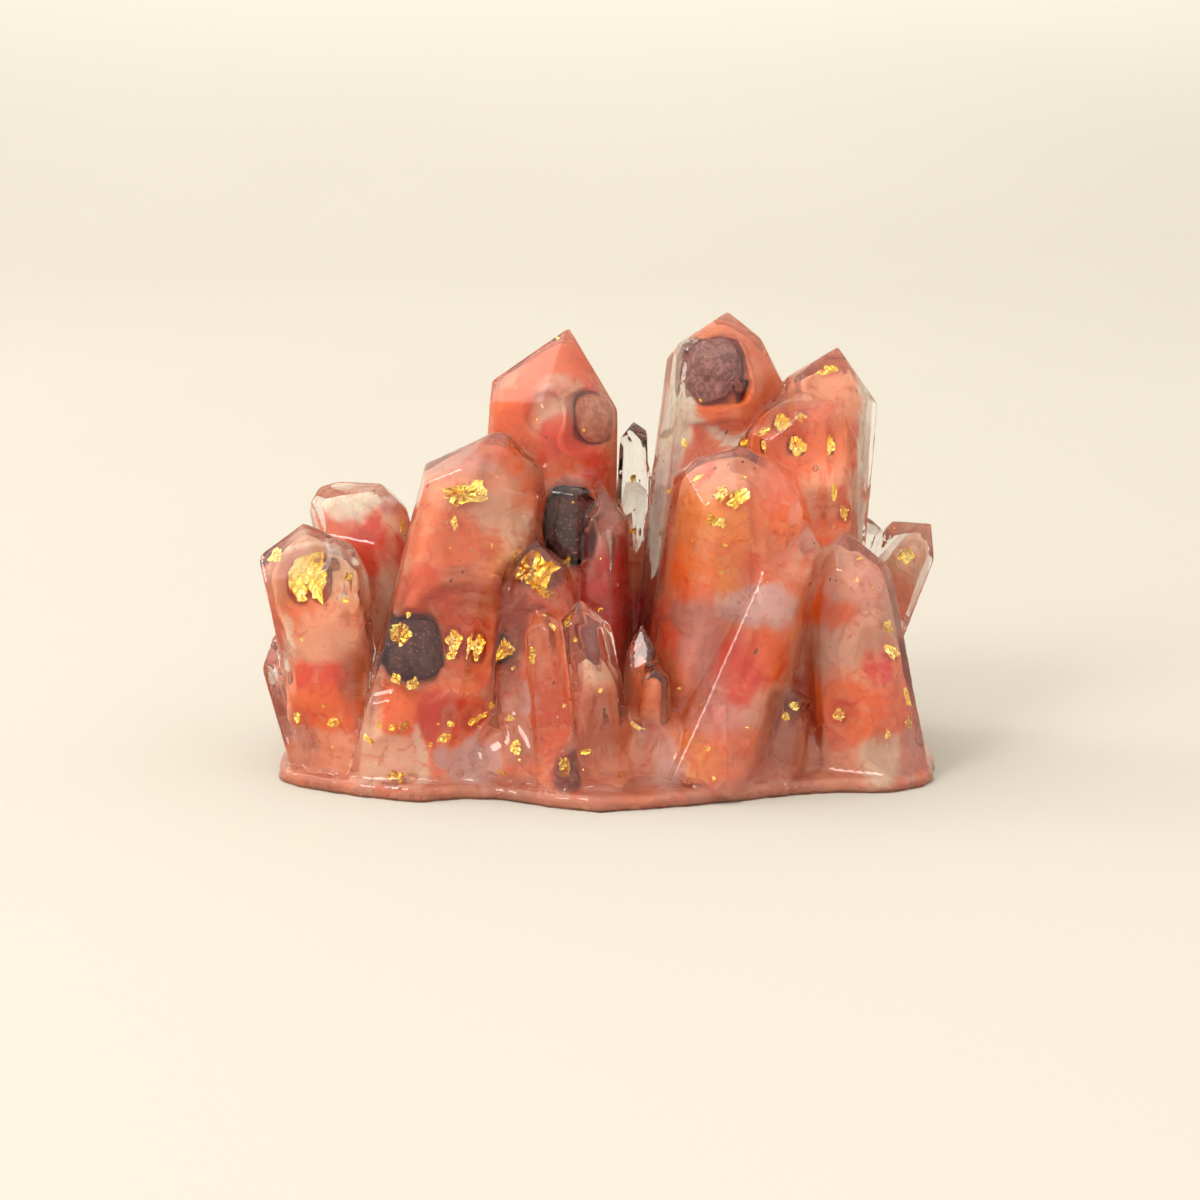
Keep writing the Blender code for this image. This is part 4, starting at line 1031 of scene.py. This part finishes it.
def hollow_out(skin, rng, corners, tree):
    """Small round bubbles just under the surface, as hollows in the skin's own mesh."""
    ball = bmesh.new()
    bmesh.ops.create_icosphere(ball, subdivisions=1, radius=1.0)
    shell = np.array([v.co for v in ball.verts])
    inward = [[v.index for v in reversed(face.verts)] for face in ball.faces]
    ball.free()
    balls = []
    for spot, radius in scattered(rng, BUBBLES, SMALL_BUBBLES, corners, 0.08, 0.2):
        middle, _ = under_skin(tree, spot, radius + BUBBLE_COVER)
        if middle.z > LOWEST:
            balls.append((np.array(middle) + shell * radius, inward))
    hollows = joined("hollows", balls)
    hollows.data.shade_smooth()
    whole = bmesh.new()
    whole.from_mesh(skin.data)
    whole.from_mesh(hollows.data)
    whole.to_mesh(skin.data)
    whole.free()
    bpy.data.objects.remove(hollows)


def large_leaves(rng, gold):
    """The large leaves of gold, each torn and crumpled at the place of its own solid."""
    for name in LEAF_NODES:
        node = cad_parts[name]
        co = np.array([node.matrix_world @ v.co for v in node.data.vertices]) / MM
        middle = (co.min(0) + co.max(0)) / 2
        axes = np.linalg.svd(co - co.mean(0), full_matrices=False)[2]
        across, up = Vector(axes[0]), Vector(axes[1])
        wide, tall = (1.12 * np.ptp((co - middle) @ np.array(v)) for v in (across, up))
        if across.cross(up).y > 0:
            up.negate()
        leaf = mesh_object(name + "_foil", *torn_leaf(rng, Vector(middle), across, up, wide, tall, 0.06))
        leaf.data.shade_flat()
        finish_piece(leaf, gold)
        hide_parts(name)


def chips():
    """The four chips, each broken up at the place of its own solid."""
    dark = chip_look("dark_chip_grain", linear(70, 34, 34), linear(112, 62, 54))
    grainy = chip_look("plum_chip_grain", linear(124, 66, 60), linear(196, 134, 122))
    brown = chip_look("brown_chip_grain", linear(190, 104, 70), linear(228, 160, 122))
    for name in CHIP_NODES:
        lens = name.startswith("brown")
        chip = rough_copy(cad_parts[name], name + "_rough", 2.2 if lens else 3.6, 0.03 if lens else 0.18)
        finish_piece(chip, brown if lens else grainy if name.endswith("tall_right") else dark)
        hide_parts(name)


def main():
    field, slope = casting_field()
    points, faces = level_surface(field, slope)
    skin = mesh_object("resin_skin", points, faces)
    thin_out(skin, SKIN_TRIANGLES)
    tree = BVHTree.FromPolygons([tuple(p) for p in points], faces.tolist())
    corners = mesh_points(skin)
    rng = random.Random(7)

    flakes, sheets = [], []
    for x, y, z, width, height, roll, deep in flake_rows(rng, corners, tree):
        centre, normal = under_skin(tree, (x, y, z), deep)
        if max(width, height) > OPENED_SIZE:
            flakes.append((np.array(centre), np.array(normal), max(width, height)))
        tilt = (normal + Vector([rng.uniform(-0.25, 0.25) for _ in range(3)])).normalized()
        size = (LEAF_SPREAD * width, LEAF_SPREAD * height)
        sheets.append(torn_leaf(rng, centre, *leaf_axes(tilt, roll), *size, 0.09))
    core = core_field(field, flakes, least=0.55, swing=0.7, seed=41)
    clouds = tinted_layer("colour_clouds", core, CORE_TRIANGLES)
    veil = core_field(field, flakes, least=0.28, swing=0.10, seed=51, wider=0.4)
    veils = tinted_layer("colour_veils", veil, VEIL_TRIANGLES)
    hollow_out(skin, rng, corners, tree)
    grains = []
    for spot, size in scattered(rng, GRAINS, SMALL_GRAINS, corners, 0.2, 0.5):
        middle, normal = under_skin(tree, spot, GRAIN_DEPTH)
        if middle.z >= LOWEST:
            axes = leaf_axes(normal, rng.uniform(0, 90))
            grains.append(torn_leaf(rng, middle, *axes, size, 0.5 * size, 0.15))

    finish_piece(skin, resin_look())
    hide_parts("resin_front", "resin_back")
    finish_piece(clouds, cloud_look())
    finish_piece(veils, veil_look())
    gold = foil_look()
    large_leaves(rng, gold)
    finish_piece(joined("gold_flakes", sheets), gold)
    grain = chip_look("grain", linear(90, 40, 30), linear(150, 78, 50))
    finish_piece(joined("dark_grains", grains), grain)
    chips()


def rough_copy(node, name, power, rough):
    """A chip of the same size and place as its solid, broken up into an uneven, crumbly shape."""
    work = bmesh.new()
    work.from_mesh(node.data)
    work.transform(node.matrix_world)
    bmesh.ops.triangulate(work, faces=work.faces)
    for _ in range(3):
        bmesh.ops.subdivide_edges(work, edges=work.edges, cuts=1, use_grid_fill=True)
        bmesh.ops.triangulate(work, faces=work.faces)
    co = np.array([v.co for v in work.verts]) / MM
    middle = (co.min(0) + co.max(0)) / 2
    half = (co.max(0) - co.min(0)) / 2
    gap = (co - middle) / half
    gap /= ((np.abs(gap) ** power).sum(1) ** (1 / power))[:, None]
    gap *= (0.94 + rough * (noise(co, 1.6, 61) + 0.5 * noise(co, 0.7, 62)))[:, None]
    co = middle + np.clip(gap, -1, 1) * half
    for v, place in zip(work.verts, co):
        v.co = place * MM
    mesh = bpy.data.meshes.new(name)
    work.to_mesh(mesh)
    work.free()
    mesh.shade_smooth()
    return place_in_scene(name, mesh)


def backdrop():
    """The floor, which curves up behind into a wall that is painted paler than the floor, as painted light.
    Its own measures are in metres.
    """
    half_width, front, bend_start, bend_radius, top, steps = 2.6, -1.6, 0.7, 0.9, 2.6, 12
    profile = [(front, 0.0), (bend_start, 0.0)]
    for i in range(1, steps + 1):
        turn = math.radians(90 * i / steps)
        profile.append((bend_start + bend_radius * math.sin(turn), bend_radius - bend_radius * math.cos(turn)))
    profile.append((bend_start + bend_radius, top))
    points = [(x * 1000, y * 1000, z * 1000) for y, z in profile for x in (-half_width, half_width)]
    faces = [(2 * i, 2 * i + 1, 2 * i + 3, 2 * i + 2) for i in range(len(profile) - 1)]
    sheet = mesh_object("backdrop", points, faces)
    sheet.data.materials.append(backdrop_look())


def area_light(name, place, size, power, colour=(1.0, 0.98, 0.95), target=(0.0, 0.0, 0.02)):
    lamp = bpy.data.lights.new(name, 'AREA')
    lamp.shape = 'DISK'
    lamp.size = size
    lamp.energy = power
    lamp.color = colour
    thing = place_in_scene(name, lamp)
    thing.location = place
    thing.rotation_euler = (Vector(target) - Vector(place)).to_track_quat('-Z', 'Y').to_euler()


def studio():
    """A bright room: most light from above, behind and the left, least from the camera's side."""
    world = bpy.data.worlds.new("studio")
    world.use_nodes = True
    tree = world.node_tree
    shade = tree.nodes["Background"]
    way = tree.nodes.new('ShaderNodeTexCoord')
    split = tree.nodes.new('ShaderNodeSeparateXYZ')
    tree.links.new(way.outputs["Generated"], split.inputs[0])

    def total(a, b):
        node = tree.nodes.new('ShaderNodeMath')
        node.operation = 'ADD'
        tree.links.new(a, node.inputs[0])
        tree.links.new(b, node.inputs[1])
        return node.outputs[0]

    above = eased(tree, split.outputs["Z"], 0.1, 0.85, 0.86, 1.25)
    behind = eased(tree, split.outputs["Y"], -0.5, 0.6, 0.0, 0.4)
    left = eased(tree, split.outputs["X"], -0.8, 0.5, 0.3, 0.0)
    tree.links.new(total(total(above, behind), left), shade.inputs["Strength"])
    shade.inputs["Color"].default_value = (1.0, 0.965, 0.91, 1.0)
    scene = bpy.context.scene
    scene.world = world
    area_light("key", (-0.60, -0.62, 0.62), 0.42, 4.6, (1.0, 0.96, 0.90))
    area_light("glint_left", (-0.50, -0.50, 0.75), 0.06, 0.4)
    area_light("glint_right", (0.42, -0.60, 0.55), 0.05, 0.2)
    area_light("rim", (-0.80, 0.30, 0.50), 0.30, 1.6)
    area_light("wall", (0.0, 0.75, 0.90), 0.5, 2.4, target=(0.0, 1.35, 0.25))
    area_light("ceiling", (-0.45, 0.21, 0.87), 0.6, 1.4, (1.0, 0.98, 0.96))
    scene.view_settings.view_transform = 'Standard'
    scene.cycles.max_bounces = 9
    scene.cycles.transmission_bounces = 8
    scene.cycles.glossy_bounces = 4
    scene.cycles.diffuse_bounces = 3
    scene.cycles.transparent_max_bounces = 6


def camera():
    """In front of the casting, and looking a little down on it. Measures are in metres."""
    elevation, distance, target_height = math.radians(12.0), 0.355, 0.0214
    data = bpy.data.cameras.new("camera")
    data.lens = 80.0
    data.sensor_width = 36.0
    thing = place_in_scene("camera", data)
    thing.location = (0.0, -distance * math.cos(elevation), target_height + distance * math.sin(elevation))
    thing.rotation_euler = (math.pi / 2 - elevation, 0.0, 0.0)
    bpy.context.scene.camera = thing


camera()
main()
backdrop()
studio()
bpy.context.view_layer.update()
